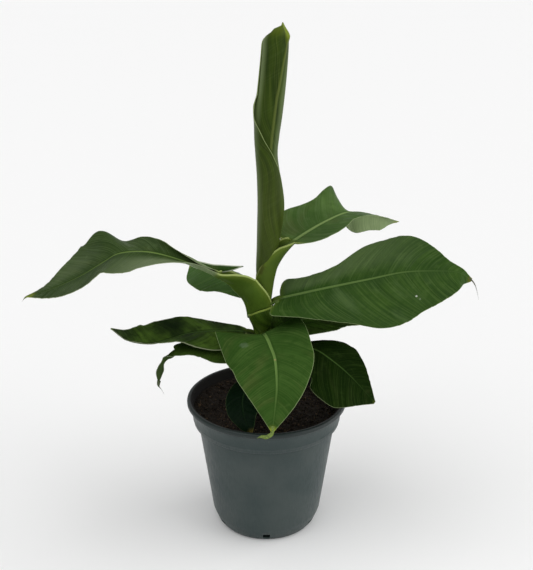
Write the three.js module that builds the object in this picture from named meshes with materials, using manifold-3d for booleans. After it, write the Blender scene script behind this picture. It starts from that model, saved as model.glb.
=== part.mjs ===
// A young banana plant in a round nursery pot: pot, soil, stem, rolled new leaf and ten open leaves.
// Millimetres, +Z up. The origin is the middle of the pot's flat underside, and the plant's front is -Y.

import * as THREE from 'three';
import { mergeVertices } from 'three/addons/utils/BufferGeometryUtils.js';
import Module from 'manifold-3d';

const wasm = await Module();
wasm.setup();

// ---------------------------------------------------------------- driving dimensions

const clearance = 0.3;            // between neighbouring pieces

const potHeight = 103;
const potSides = 48;
const potWall = 1.6;
const rimRadius = 60;             // outside of the rolled rim
const rimHeight = 3.4;            // the rim's upright edge
const rimWidth = 4;
const bandDepth = 19;             // the wider band under the rim
const bandRadius = 55;            // outside of the band at its lower edge
const bodyRadius = 51.6;          // outside of the body just under the band
const kneeRadius = 41.5;          // outside of the body where it turns in to the foot
const kneeHeight = 12.4;
const footRadius = 35.5;          // flat underside
const drainSlots = 6;
const drainSlot = { length: 10, width: 8, height: 3.4, bottom: 2.2 };

const soilHeight = 94;            // at the stem
const soilSink = 1.5;             // how much lower the soil lies at the wall
const soilMound = { radius: 16, shoulder: 12, rise: 0.9 };

// The stem as [x, y, height, radius].
const stemRings = [
  [0, 0, 94.3, 8.5], [0, 0, 106, 7.6], [0, 0, 125, 6.6], [-1, 0, 145, 5.8],
  [-2.5, 0, 165, 5.4], [-2.6, 0, 185, 5.2], [-1, 0, 206, 5.6],
];
const stemSides = 14;

// The rolled new leaf as [x, y, height, radius, bearing of its free edge in degrees].
const spearRings = [
  [-0.9, 0, 206.3, 6.2, 10], [0.6, 0, 222, 7.6, 0], [2.2, 0, 240, 8.9, -15], [2.9, 0, 256, 9.3, -30],
  [1.4, 0, 275, 8.0, -50], [-0.4, 0, 290, 7.2, -70], [0, 0, 303, 8.4, -110], [1, 0, 318, 9.3, -150],
  [2.9, 0, 340, 9.0, -170], [5, 0, 360, 8.6, -180], [5.8, 0, 369, 8.2, -190],
];
const spearSides = 18;
const spearLip = 0.09;            // the free edge stands out by this share of the radius
const spearTip = { x: 12.5, height: 379 };
const spearShoulder = { radius: 0.8, depth: 0.5, rise: 2 };  // low left end of the slanted top

// A leaf leaves the stem towards its heading, in degrees about +Z from +X.
// route: its midrib as [reach along the heading, sway to the left, height].
// petiole: share of the route before the blade opens.
// bend: share of the route where an arching leaf is parted into a stalk and the leaf beyond it.
// slant: how far the veins lean towards the tip, in degrees, at the blade's base and past fanEnd.
// roll: turn of the whole leaf about its midrib, left side up, in degrees at even steps.
// left, right: one half each, with its foot (width round the stem), neck (width where the blade starts),
// blade (widths at even steps from neck to tip), lift (angle above the leaf's own plane) and
// curl (how far it turns up over its width), both in degrees at even steps from stem to tip.
const plain = { foot: 7, neck: 4, lift: [0, 0], curl: [70, 0, 0, 0, 0] };
const leaves = {
  leaf_upper_right: {
    heading: 34, petiole: 0.27, thickness: 1.3, slant: [-10, 25], roll: [0, 0],
    route: [[4, 1, 186], [5, 1, 200], [10, -2, 213], [22, -4, 224], [50, -3, 233], [76, -1, 236],
      [100, 0, 229], [124, 1, 219]],
    left: {
      foot: 11, neck: 4, blade: [16, 21, 20, 25, 23, 13, 11, 9, 1],
      lift: [0, 20, 35, 38, 32, 34, 22, -65, -70, -70, -30], curl: [110, 80, 40, 10, 0, 0, 0, 0, 0, 0, 0],
    },
    right: {
      foot: 12, neck: 4, blade: [10, 19, 19, 14, 12, 7, 5, 3, 1],
      lift: [0, 20, 20, 0, -2, 0, -3, -3, 0, 0, 0], curl: [110, 80, 40, 10, 0, 0, 0, 0, 0, 0, 0],
    },
  },
  leaf_upper_left: {
    heading: 186, petiole: 0.24, bend: 0.34, thickness: 1.9, slant: [0, 25], roll: [0, 0],
    route: [[9, 0, 167], [10, -0.5, 176], [16, 1, 186], [23, 5, 196], [33, 9, 205], [58, 12, 217],
      [83, 11, 225], [103, 11, 225], [115, 11, 219], [132, 11, 209], [153, 11, 200], [170, 10, 195]],
    left: {
      foot: 19, neck: 5, blade: [6, 9, 20, 26, 25, 20, 15, 8, 1],
      lift: [0, 20, 25, 10, 3, -7, -9, -4, -3, -8, -8], curl: [110, 90, 60, 30, 10, 0, 0, 0, 0, 0, 0],
    },
    right: {
      foot: 17, neck: 5, blade: [7, 8, 8, 17, 33, 28, 19, 8, 1],
      lift: [0, 20, 25, 0, 0, 5, 15, 20, 18, 16, 10], curl: [110, 90, 80, 230, 150, 0, 0, 0, 0, 0, 0],
    },
  },
  leaf_right: {
    heading: -12, petiole: 0.11, thickness: 1.5, slant: [-20, 25], roll: [0, 30, 33, 33, 30],
    route: [[3.5, -0.5, 165], [4, -0.5, 174], [7, -1, 181], [14, -1, 185], [28, -2, 190], [47, -2, 196],
      [75, -1, 204], [99, -1, 211], [122, -2, 214], [136, -2, 214], [145, -2, 209]],
    left: { ...plain, blade: [12, 13, 15, 27, 36, 31, 20, 9, 1], lift: [0, 0, -9, -9, -9] },
    right: { ...plain, blade: [14, 17, 31, 42, 39, 32, 24, 13, 1], lift: [0, 0, -9, -9, -9] },
  },
  leaf_front: {
    heading: -90, petiole: 0.13, thickness: 1.2, slant: [-10, 25], roll: [0, 0],
    route: [[9, -3, 174], [13, -2, 169], [20, -2, 165], [35, 3, 161], [52, 6, 157], [72, 7, 148],
      [84, 6, 139], [92, 4, 124]],
    left: {
      foot: 9, neck: 3.5, blade: [22, 28, 28, 27, 24, 20, 15, 8, 1],
      lift: [0, 8, 3, 0, 0], curl: [60, 20, 0, 0, 0],
    },
    right: {
      foot: 9, neck: 3.5, blade: [34, 36, 34, 30, 26, 21, 15, 8, 1],
      lift: [0, 0], curl: [60, 0, 0, 0, 0],
    },
  },
  leaf_left: {
    heading: 183, petiole: 0.17, thickness: 1.2, slant: [-10, 25], roll: [0, 0],
    route: [[7.5, 0, 149], [10, 0, 158], [20, -1, 162], [38, -2, 159], [56, -2, 156], [73, -1, 151],
      [86, 1, 149], [102, 1, 152], [114, 0, 161]],
    left: {
      ...plain, blade: [10, 24, 26, 24, 20, 15, 10, 6, 1], lift: [0, -14, -12, 2, 12, 22, 28, 25, 20],
    },
    right: { ...plain, blade: [5, 11, 18, 23, 23, 20, 14, 8, 1], lift: [0, 0, 2, 5, 8, 10, 8, 0, 0] },
  },
  leaf_low_left: {
    heading: 188, petiole: 0.17, thickness: 1.1, slant: [-10, 20], roll: [0, 0],
    route: [[6.5, 0, 130], [8, 0, 139], [16, 1, 146], [30, 1, 149], [51, 1, 150], [65, 1, 149],
      [72, 0, 145], [80, 1, 134], [83, 1, 120]],
    left: { ...plain, blade: [12, 21, 24, 19, 10, 6, 5, 4, 1], lift: [0, -10, -10, -10, -10] },
    right: { ...plain, blade: [10, 18, 20, 20, 14, 7, 4, 3, 1], lift: [0, -20, -20, -20, -20] },
  },
  leaf_low_right: {
    heading: -31, petiole: 0.2, thickness: 1.1, slant: [-10, 25], roll: [0, 0],
    route: [[6, 0, 124], [7.5, 0, 135], [15, -1, 145], [27, 0, 150], [40, 1, 151], [53, 0, 147],
      [69, 1, 137], [89, 1, 121]],
    left: { ...plain, blade: [12, 20, 25, 27, 26, 22, 16, 9, 1], lift: [0, -5, -5, -3, 0] },
    right: { ...plain, blade: [12, 24, 29, 30, 29, 25, 18, 10, 1], lift: [0, -25, -25, -20, -10] },
  },
  leaf_back_right: {
    heading: 25, petiole: 0.17, thickness: 1.2, slant: [-10, 20], roll: [0, 0],
    route: [[4.8, 0.5, 142], [5.2, 0.5, 151], [12, 2, 158], [29, 2, 160], [55, 3, 157], [86, 4, 151],
      [108, 4, 145]],
    left: { ...plain, blade: [12, 18, 22, 23, 22, 20, 15, 9, 1] },
    right: { ...plain, blade: [16, 25, 25, 22, 19, 15, 11, 7, 1] },
  },
  leaf_back: {
    heading: 147, petiole: 0.26, thickness: 1.0, slant: [-10, 10], roll: [0, 0],
    route: [[7.5, -1.5, 162], [8, -1.5, 172], [14, -3, 183], [28, -4, 190], [47, -3, 193], [66, -2, 190]],
    left: { ...plain, blade: [10, 16, 20, 22, 22, 21, 18, 12, 1], lift: [0, -15, -19, -19, -19] },
    right: { ...plain, blade: [8, 12, 14, 15, 15, 14, 12, 8, 1], lift: [0, -20, -30, -30, -30] },
  },
  leaf_soil: {
    heading: -107, petiole: 0.2, thickness: 1.0, slant: [-10, 20], roll: [0, 0],
    route: [[7, 0, 106], [8, 0, 114], [12, -3, 121], [19, -7, 121], [30, -9, 114], [41, -4, 105],
      [47, 3, 97]],
    left: { ...plain, foot: 3, neck: 3, blade: [6, 9, 11, 12, 12, 11, 8, 5, 1] },
    right: { ...plain, foot: 3, neck: 3, blade: [6, 9, 11, 12, 12, 11, 8, 5, 1] },
  },
};

const petioleSteps = 4;           // sections along a petiole
const bladeSteps = 13;            // steps along a blade
const across = [0.25, 0.5, 0.75, 1];  // where a half is sampled, from the midrib to the margin
const footEase = 2.5;             // how late a foot narrows to its neck
const shoulder = 0.07;            // share of a blade in which its base rounds out
const fanEnd = 0.3;               // share of a blade in which the veins swing to their full slant
const ribDepth = 1.4;             // the midrib stands out this far under the leaf at its base
const ribWidth = 3;
const tipThinning = 0.6;          // the last section is thinner, as its halves have no width left

const potPlastic = { color: 0x424b49, roughness: 0.5, metalness: 0 };
const peat = { color: 0x2a1d16, roughness: 1, metalness: 0 };
const sheathGreen = { color: 0x66752f, roughness: 0.5, metalness: 0 };
const leafGreen = { color: 0x2f5c26, roughness: 0.4, metalness: 0 };

// ---------------------------------------------------------------- small helpers

const radians = (degrees) => THREE.MathUtils.degToRad(degrees);

// A smooth curve through evenly spaced values, read at a share from 0 to 1 (Catmull-Rom).
function along(values, share) {
  const last = values.length - 1;
  const place = Math.min(Math.max(share, 0), 1) * last;
  const i = Math.min(Math.floor(place), last - 1);
  const t = place - i;
  const [b, c] = [values[i], values[i + 1]];
  const a = i > 0 ? values[i - 1] : 2 * b - c;
  const d = i + 2 <= last ? values[i + 2] : 2 * c - b;
  const [m0, m1] = [(c - a) / 2, (d - b) / 2];
  return b + m0 * t + (3 * (c - b) - 2 * m0 - m1) * t ** 2 + (2 * (b - c) + m0 + m1) * t ** 3;
}

// A ring of points, each worked out from its angle.
function ring(sides, place) {
  return Array.from({ length: sides }, (_, i) => place(2 * Math.PI * i / sides));
}

// A closed surface through rings of equal length, each ring one closed section. Its two end sections
// are closed by strips that join point i to the point as far from the ring's other end.
function loft(rings) {
  const count = rings[0].length;
  const positions = rings.flat().flatMap((p) => [p.x, p.y, p.z]);
  const faces = [];
  const quad = (a, b, c, d) => faces.push(a, b, c, a, c, d);
  for (let k = 0; k + 1 < rings.length; k += 1) {
    for (let i = 0; i < count; i += 1) {
      const j = (i + 1) % count;
      quad(k * count + i, k * count + j, (k + 1) * count + j, (k + 1) * count + i);
    }
  }
  const end = (rings.length - 1) * count;
  for (let i = 0; i < count / 2 - 1; i += 1) {
    quad(count - 1 - i, count - 2 - i, i + 1, i);
    quad(end + i, end + i + 1, end + count - 2 - i, end + count - 1 - i);
  }
  return solidOf(new Float32Array(positions), new Uint32Array(faces));
}

// A solid for cutting and joining, turned right side out if its faces ran the other way.
function solidOf(vertProperties, triVerts) {
  const made = new wasm.Manifold(new wasm.Mesh({ numProp: 3, vertProperties, triVerts }));
  if (made.volume() > 0) return made;
  triVerts.reverse();
  return new wasm.Manifold(new wasm.Mesh({ numProp: 3, vertProperties, triVerts }));
}

function solidOfGeometry(geometry) {
  const bare = geometry.clone().deleteAttribute('normal').deleteAttribute('uv');
  const merged = mergeVertices(bare, 1e-4);
  return solidOf(merged.attributes.position.array, new Uint32Array(merged.index.array));
}

function meshOf(name, solid, finish) {
  const { vertProperties, triVerts } = solid.getMesh();
  const geometry = new THREE.BufferGeometry();
  geometry.setAttribute('position', new THREE.BufferAttribute(vertProperties.slice(), 3));
  geometry.setIndex(new THREE.BufferAttribute(triVerts.slice(), 1));
  geometry.computeVertexNormals();
  const mesh = new THREE.Mesh(geometry, new THREE.MeshStandardMaterial(finish));
  mesh.name = name;
  return mesh;
}

const largest = (solid) => solid.decompose().sort((a, b) => b.volume() - a.volume())[0];

// ---------------------------------------------------------------- pot and soil

// Turns a profile of [radius, height] about the pot's axis.
function turned(profile) {
  const lathe = new THREE.LatheGeometry(profile.map(([r, z]) => new THREE.Vector2(r, z)), potSides);
  return solidOfGeometry(lathe.rotateX(Math.PI / 2));
}

const bandFoot = potHeight - bandDepth;

// The pot's inner face from the middle of its floor to its rim, moved in by a gap.
function potInside(gap) {
  const inset = potWall + gap;
  return [
    [0, inset], [footRadius - inset, inset], [kneeRadius - inset, kneeHeight],
    [bodyRadius - inset, bandFoot - 1 + gap], [bandRadius - inset, bandFoot + 1 + gap],
    [rimRadius - rimWidth - gap, potHeight],
  ];
}

function potSolid() {
  const outside = [
    [0, 0], [footRadius, 0], [kneeRadius, kneeHeight], [bodyRadius, bandFoot], [bandRadius, bandFoot + 1],
    [rimRadius - 1, potHeight - rimHeight - 0.6], [rimRadius, potHeight - rimHeight / 2], [rimRadius - 0.6, potHeight],
  ];
  const slots = Array.from({ length: drainSlots }, (_, i) => {
    const box = new THREE.BoxGeometry(drainSlot.length, drainSlot.width, drainSlot.height);
    box.translate(footRadius + drainSlot.length / 3, 0, drainSlot.bottom + drainSlot.height / 2);
    return solidOfGeometry(box.rotateZ(radians(i * 360 / drainSlots - 90)));
  });
  return slots.reduce((pot, slot) => pot.subtract(slot), turned([...outside, ...potInside(0).reverse()]));
}

function soilSolid() {
  const wall = potInside(clearance);
  const [band, rim] = wall.slice(-2);
  const edge = soilHeight - soilSink;
  const edgeRadius = THREE.MathUtils.mapLinear(edge, band[1], rim[1], band[0], rim[0]);
  return turned([
    ...wall.slice(0, -1), [edgeRadius, edge], [edgeRadius - soilMound.shoulder, edge + soilMound.rise],
    [soilMound.radius, soilHeight], [0, soilHeight],
  ]);
}

// ---------------------------------------------------------------- stem and rolled leaf

// Each of these pieces can also be made `grown` by a gap on all sides, to cut its neighbours clear.
function stemSolid(grown = 0) {
  const rings = stemRings.map(([x, y, z, r]) => ring(stemSides, (angle) => new THREE.Vector3(
    x + (r + grown) * Math.cos(angle), y + (r + grown) * Math.sin(angle), z)));
  rings[0].forEach((p) => { p.z -= grown; });
  rings[rings.length - 1].forEach((p) => { p.z += grown; });
  return loft(rings);
}

// The roll is one sheet wound on itself: its radius grows once round and steps back at the free edge.
// Its top slants up from the shoulder on the left to the tip on the right.
function spearSolid(grown = 0) {
  const rings = spearRings.map(([x, y, z, r, bearing]) => ring(spearSides, (angle) => {
    const turn = angle + radians(bearing);
    const radius = r * (1 + spearLip * (angle / (2 * Math.PI) - 0.5)) + grown;
    return new THREE.Vector3(x + radius * Math.cos(turn), y + radius * Math.sin(turn), z);
  }));
  rings[0].forEach((p) => { p.z -= grown; });
  const [x, y, z, r, bearing] = spearRings[spearRings.length - 1];
  rings.push(ring(spearSides, (angle) => {
    const turn = angle + radians(bearing);
    const share = (1 + Math.cos(turn)) / 2;
    return new THREE.Vector3(
      THREE.MathUtils.lerp(x + r * spearShoulder.radius * Math.cos(turn), spearTip.x, share),
      y + r * spearShoulder.depth * (1 - share) * Math.sin(turn),
      THREE.MathUtils.lerp(z + spearShoulder.rise, spearTip.height, share));
  }));
  return loft(rings);
}

// ---------------------------------------------------------------- leaves

// Point, tangent, side and up vectors along a leaf's midrib.
function midrib(leaf) {
  const a = radians(leaf.heading);
  const ahead = new THREE.Vector3(Math.cos(a), Math.sin(a), 0);
  const left = new THREE.Vector3(-Math.sin(a), Math.cos(a), 0);
  const points = leaf.route.map(([reach, sway, height]) => new THREE.Vector3(0, 0, height)
    .addScaledVector(ahead, reach).addScaledVector(left, sway));
  const curve = new THREE.CatmullRomCurve3(points, false, 'catmullrom', 0.5);
  return (share) => {
    const tangent = curve.getTangentAt(share);
    const side = left.clone().addScaledVector(tangent, -left.dot(tangent)).normalize();
    const roll = radians(along(leaf.roll, share));
    side.applyAxisAngle(tangent, roll);
    return { point: curve.getPointAt(share), tangent, side, up: tangent.clone().cross(side) };
  };
}

// Width of one half at a share of the route: foot to neck along the petiole, then the blade, whose
// base rounds out over the first part of it.
function halfWidth(half, petiole, share) {
  if (share <= petiole) return THREE.MathUtils.lerp(half.foot, half.neck, (share / petiole) ** footEase);
  const s = (share - petiole) / (1 - petiole);
  const rounding = Math.sqrt(1 - (1 - Math.min(s / shoulder, 1)) ** 2);
  return half.neck * (1 - rounding) + along(half.blade, s) * rounding;
}

// How far the margin runs ahead of its place on the midrib, as a share of the half's width.
function lead(leaf, share) {
  if (share < leaf.petiole) return 0;
  const s = (share - leaf.petiole) / (1 - leaf.petiole);
  const fan = THREE.MathUtils.smoothstep(s, 0, fanEnd);
  return Math.tan(radians(THREE.MathUtils.lerp(leaf.slant[0], leaf.slant[1], fan)));
}

// One half's section is an arc: it leaves the midrib at `lift` and has turned by `curl` at the margin.
// Each sample gives a point on the upper face and one on the lower face.
function halfSection(leaf, half, sign, frame, share, thickness, grown) {
  const width = halfWidth(half, leaf.petiole, share);
  const lift = radians(along(half.lift, share));
  const curl = radians(along(half.curl, share));
  const out = frame.side.clone().multiplyScalar(sign);
  const offset = (from, distance, angle) => from.clone()
    .addScaledVector(out, distance * Math.cos(angle)).addScaledVector(frame.up, distance * Math.sin(angle));
  return across.map((t) => {
    const bend = curl * t / 2;
    const chord = width * t * (Math.abs(bend) < 1e-6 ? 1 : Math.sin(bend) / bend);
    const foot = frame.point.clone().addScaledVector(frame.tangent, width * t * lead(leaf, share));
    const middle = offset(offset(foot, chord, lift + bend), t === 1 ? grown : 0, lift + curl);
    const normal = lift + curl * t + Math.PI / 2;
    const rib = ribDepth * (1 - share) * Math.exp(-((width * t / ribWidth) ** 2));
    return {
      upper: offset(middle, thickness / 2 + grown, normal),
      lower: offset(middle, -thickness / 2 - rib - grown, normal),
    };
  });
}

// The leaf's solid between two shares of its route.
function leafSolid(leaf, from, to, grown = 0) {
  const frameAt = midrib(leaf);
  const shares = [from, to];
  for (let i = 0; i < petioleSteps; i += 1) shares.push(leaf.petiole * i / petioleSteps);
  for (let i = 0; i <= bladeSteps; i += 1) {
    shares.push(leaf.petiole + (1 - leaf.petiole) * (1 - Math.cos(Math.PI * i / bladeSteps)) / 2);
  }
  const sections = [...new Set(shares)].filter((share) => share >= from && share <= to).sort((a, b) => a - b);
  return loft(sections.map((share) => {
    const frame = frameAt(share);
    if (share === from) frame.point.addScaledVector(frame.tangent, -grown);
    if (share === to) frame.point.addScaledVector(frame.tangent, grown);
    const thickness = leaf.thickness * (share === 1 ? tipThinning : 1);
    const left = halfSection(leaf, leaf.left, 1, frame, share, thickness, grown);
    const right = halfSection(leaf, leaf.right, -1, frame, share, thickness, grown);
    const crest = frame.point.clone().addScaledVector(frame.up, thickness / 2 + grown);
    const keelDepth = thickness / 2 + ribDepth * (1 - share) + grown;
    const keel = frame.point.clone().addScaledVector(frame.up, -keelDepth);
    return [
      ...left.map((p) => p.upper).reverse(), crest, ...right.map((p) => p.upper),
      ...right.map((p) => p.lower).reverse(), keel, ...left.map((p) => p.lower),
    ];
  }));
}

// ---------------------------------------------------------------- the plant

const plant = new THREE.Group();
plant.add(meshOf('pot', potSolid(), potPlastic));
plant.add(meshOf('soil', soilSolid(), peat));
plant.add(meshOf('stem', stemSolid(), sheathGreen));
plant.add(meshOf('spear', spearSolid(), sheathGreen));

// From the inside out, each leaf is cut clear of the stem, the rolled leaf and the leaves before it.
const keepOut = [stemSolid(clearance), spearSolid(clearance)];
function grow(name, leaf, from, to) {
  const cut = keepOut.reduce((solid, other) => solid.subtract(other), leafSolid(leaf, from, to));
  plant.add(meshOf(name, largest(cut), leafGreen));
  keepOut.push(leafSolid(leaf, from, to, clearance));
}
for (const [name, leaf] of Object.entries(leaves)) {
  if (leaf.bend) grow(name.replace('leaf', 'stalk'), leaf, 0, leaf.bend);
  grow(name, leaf, leaf.bend ?? 0, 1);
}

export default plant;
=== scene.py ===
"""Dresses a young potted banana plant: leaves, rolled new leaf, stem, peat and nursery pot.

Shapes are worked out in millimetres and put into the scene in metres. Every leaf follows the rule of the
solids: a midrib route, two halves whose sections are arcs, and veins that lean towards the tip.
"""

import logging
import math
from dataclasses import dataclass, field, replace
from enum import Enum

import bpy
import numpy as np
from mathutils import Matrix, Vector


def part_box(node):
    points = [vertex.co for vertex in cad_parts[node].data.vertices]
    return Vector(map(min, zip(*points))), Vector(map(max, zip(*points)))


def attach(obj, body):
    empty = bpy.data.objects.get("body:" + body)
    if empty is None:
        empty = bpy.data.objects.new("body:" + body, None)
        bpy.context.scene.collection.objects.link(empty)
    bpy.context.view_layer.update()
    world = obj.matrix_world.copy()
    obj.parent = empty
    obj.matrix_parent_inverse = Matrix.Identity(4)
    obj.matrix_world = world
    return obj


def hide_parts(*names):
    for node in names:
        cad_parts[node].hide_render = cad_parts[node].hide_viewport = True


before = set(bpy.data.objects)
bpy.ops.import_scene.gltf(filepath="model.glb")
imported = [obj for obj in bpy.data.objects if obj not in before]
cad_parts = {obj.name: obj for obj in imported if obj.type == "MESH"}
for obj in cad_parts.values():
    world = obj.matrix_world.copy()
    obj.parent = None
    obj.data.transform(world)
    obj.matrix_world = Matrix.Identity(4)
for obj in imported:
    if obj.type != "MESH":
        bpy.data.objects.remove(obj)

Array = np.ndarray
Triple = tuple[float, float, float]
Colour = Triple
Table = list[list[float]]
Material = bpy.types.Material
Piece = bpy.types.Object
Socket = bpy.types.NodeSocket
log = logging.getLogger("banana_plant")
MM = 0.001
ROOT = "root"
LATTICE = 128
FAR = 9.0
ROUTE_POINTS = 4001
ROUTE_STEP = 1 / 2000


# ---------------------------------------------------------------- numbers and surfaces


def along(values: Array, share: Array) -> Array:
    """Reads a smooth curve through evenly spaced values (Catmull-Rom with straight ends).

    Args:
        values: One value, or one row of values, for each even step.
        share: Where to read, from 0 at the first value to 1 at the last.

    Returns:
        The values there, with one row for each share if values has rows.
    """
    knots = np.asarray(values, float)
    last = len(knots) - 1
    place = np.clip(np.asarray(share, float), 0, 1) * last
    i = np.minimum(place.astype(int), last - 1)
    t = place - i
    if knots.ndim > 1:
        t = t[..., None]
    padded = np.concatenate([[2 * knots[0] - knots[1]], knots, [2 * knots[-1] - knots[-2]]])
    a, b, c, d = (padded[i + k] for k in range(4))
    m0, m1 = (c - a) / 2, (d - b) / 2
    return b + m0 * t + (3 * (c - b) - 2 * m0 - m1) * t**2 + (2 * (b - c) + m0 + m1) * t**3


def smoothstep(x: Array, low: float, high: float) -> Array:
    """Returns 0 below low, 1 above high and 3t^2 - 2t^3 of the share t between them."""
    t = np.clip((np.asarray(x, float) - low) / (high - low), 0, 1)
    return t * t * (3 - 2 * t)


def lattice_noise(x: Array, y: Array, seed: int) -> Array:
    """Smooth noise from -1 to 1: seeded values on a unit lattice, blended between its corners.

    Args:
        x: First coordinate, in lattice steps.
        y: Second coordinate, in lattice steps.
        seed: Seed of the lattice's values.

    Returns:
        The noise at each point.
    """
    table = np.random.default_rng(seed).uniform(-1, 1, (LATTICE, LATTICE))
    x, y = np.broadcast_arrays(np.asarray(x, float), np.asarray(y, float))
    i, j = np.floor(x).astype(int), np.floor(y).astype(int)
    u, v = smoothstep(x - i, 0, 1), smoothstep(y - j, 0, 1)
    i0, i1, j0, j1 = i % LATTICE, (i + 1) % LATTICE, j % LATTICE, (j + 1) % LATTICE
    low = table[i0, j0] * (1 - u) + table[i1, j0] * u
    high = table[i0, j1] * (1 - u) + table[i1, j1] * u
    return low * (1 - v) + high * v


def unit(vectors: Array) -> Array:
    """Returns each vector at length 1."""
    return vectors / np.maximum(np.linalg.norm(vectors, axis=-1, keepdims=True), 1e-12)


def bearings(count: int) -> Array:
    """Returns even bearings once round a circle, as one row."""
    return np.linspace(0, 2 * np.pi, count, endpoint=False)[None]


def turned(x: Array | float, y: Array | float, radius: Array, angle: Array, z: Array) -> Array:
    """Returns points at a radius and a bearing from an axis at x and y, all at their height z."""
    return np.stack([x + radius * np.cos(angle), y + radius * np.sin(angle), z + 0 * radius * angle], -1)


def ring_faces(rings: int, count: int, closed: bool = False) -> Array:
    """Quads between neighbouring rings of points, each ring closed on itself.

    Args:
        rings: How many rings there are.
        count: How many points a ring has.
        closed: Whether the last ring joins the first one too.

    Returns:
        One row of four point numbers for each quad.
    """
    k, i = np.meshgrid(np.arange(rings if closed else rings - 1), np.arange(count), indexing="ij")
    j, m = (i + 1) % count, (k + 1) % rings
    return np.stack([k * count + i, k * count + j, m * count + j, m * count + i], -1).reshape(-1, 4)


def fan_faces(centre: int, start: int, count: int, facing: int) -> Array:
    """Triangles from one centre point to each side of a ring.

    Args:
        centre: The centre point's number.
        start: The number of the ring's first point.
        count: How many points the ring has.
        facing: 1 where the ring runs anticlockwise seen from outside, -1 where it runs clockwise.

    Returns:
        One row of three point numbers for each triangle.
    """
    i = np.arange(count)
    return np.stack([np.full(count, centre), *[start + i, start + (i + 1) % count][::facing]], -1)


def loft_faces(rings: int, count: int) -> list[Array]:
    """Faces of a closed loft: quads between rings, and strips that zip up its two flat end sections.

    Args:
        rings: How many rings there are.
        count: How many points a ring has, an even number.

    Returns:
        Two arrays of quads, facing out when the rings run anticlockwise seen from the far end.
    """
    s = np.arange(count // 2 - 1)
    start = np.stack([count - 1 - s, count - 2 - s, s + 1, s], -1)
    return [ring_faces(rings, count), np.concatenate([start, (rings - 1) * count + start[:, ::-1]])]


def lathe_faces(rings: int, count: int) -> list[Array]:
    """Faces of a turned shape whose first and last points lie on the axis, as single points.

    Args:
        rings: How many full rings lie between the two poles.
        count: How many points a ring has.

    Returns:
        The quads between rings and the triangles at the poles; pole points come first and last.
    """
    last = 1 + (rings - 1) * count
    poles = [fan_faces(0, 1, count, -1), fan_faces(last + count, last, count, 1)]
    return [1 + ring_faces(rings, count), np.concatenate(poles)]


@dataclass
class Surface:
    """A mesh in the making: points in millimetres, faces, and one number per point for each attribute."""

    points: Array
    faces: list[Array]
    attributes: dict[str, Array] = field(default_factory=dict)

    def object(self, name: str, material: Material, slot: str, nodes: tuple[str, ...] = (),
               smooth: bool = True) -> Piece:
        """Puts the surface into the scene as a mesh that rides with the plant.

        Args:
            name: The object's name.
            material: Its finish.
            slot: The record's material slot that the finish stands for. Not used.
            nodes: The solids that it takes the place of.
            smooth: Whether its faces are shaded smooth.

        Returns:
            The new object, at the origin.
        """
        mesh = bpy.data.meshes.new(name)
        loops = np.concatenate([f.reshape(-1) for f in self.faces])
        totals = np.concatenate([np.full(len(f), f.shape[1]) for f in self.faces])
        starts = np.concatenate([[0], np.cumsum(totals)[:-1]])
        mesh.vertices.add(len(self.points))
        mesh.loops.add(len(loops))
        mesh.polygons.add(len(totals))
        mesh.vertices.foreach_set("co", (self.points * MM).astype(np.float32).ravel())
        mesh.loops.foreach_set("vertex_index", loops.astype(np.int32))
        mesh.polygons.foreach_set("loop_start", starts.astype(np.int32))
        mesh.polygons.foreach_set("use_smooth", np.full(len(totals), smooth))
        for key, values in self.attributes.items():
            layer = mesh.attributes.new(key, "FLOAT", "POINT")
            layer.data.foreach_set("value", np.asarray(values, np.float32).ravel())
        mesh.update(calc_edges=True)
        mesh.validate()
        mesh.materials.append(material)
        piece = bpy.data.objects.new(name, mesh)
        bpy.context.scene.collection.objects.link(piece)
        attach(piece, ROOT)
        if nodes:
            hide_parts(*nodes)
        log.info("%s: %d points, %d faces", name, len(mesh.vertices), len(mesh.polygons))
        return piece


# ---------------------------------------------------------------- finishes


def rgba(colour: Colour) -> tuple[float, float, float, float]:
    """Returns a colour with full alpha."""
    return (*colour, 1.0)


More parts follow.
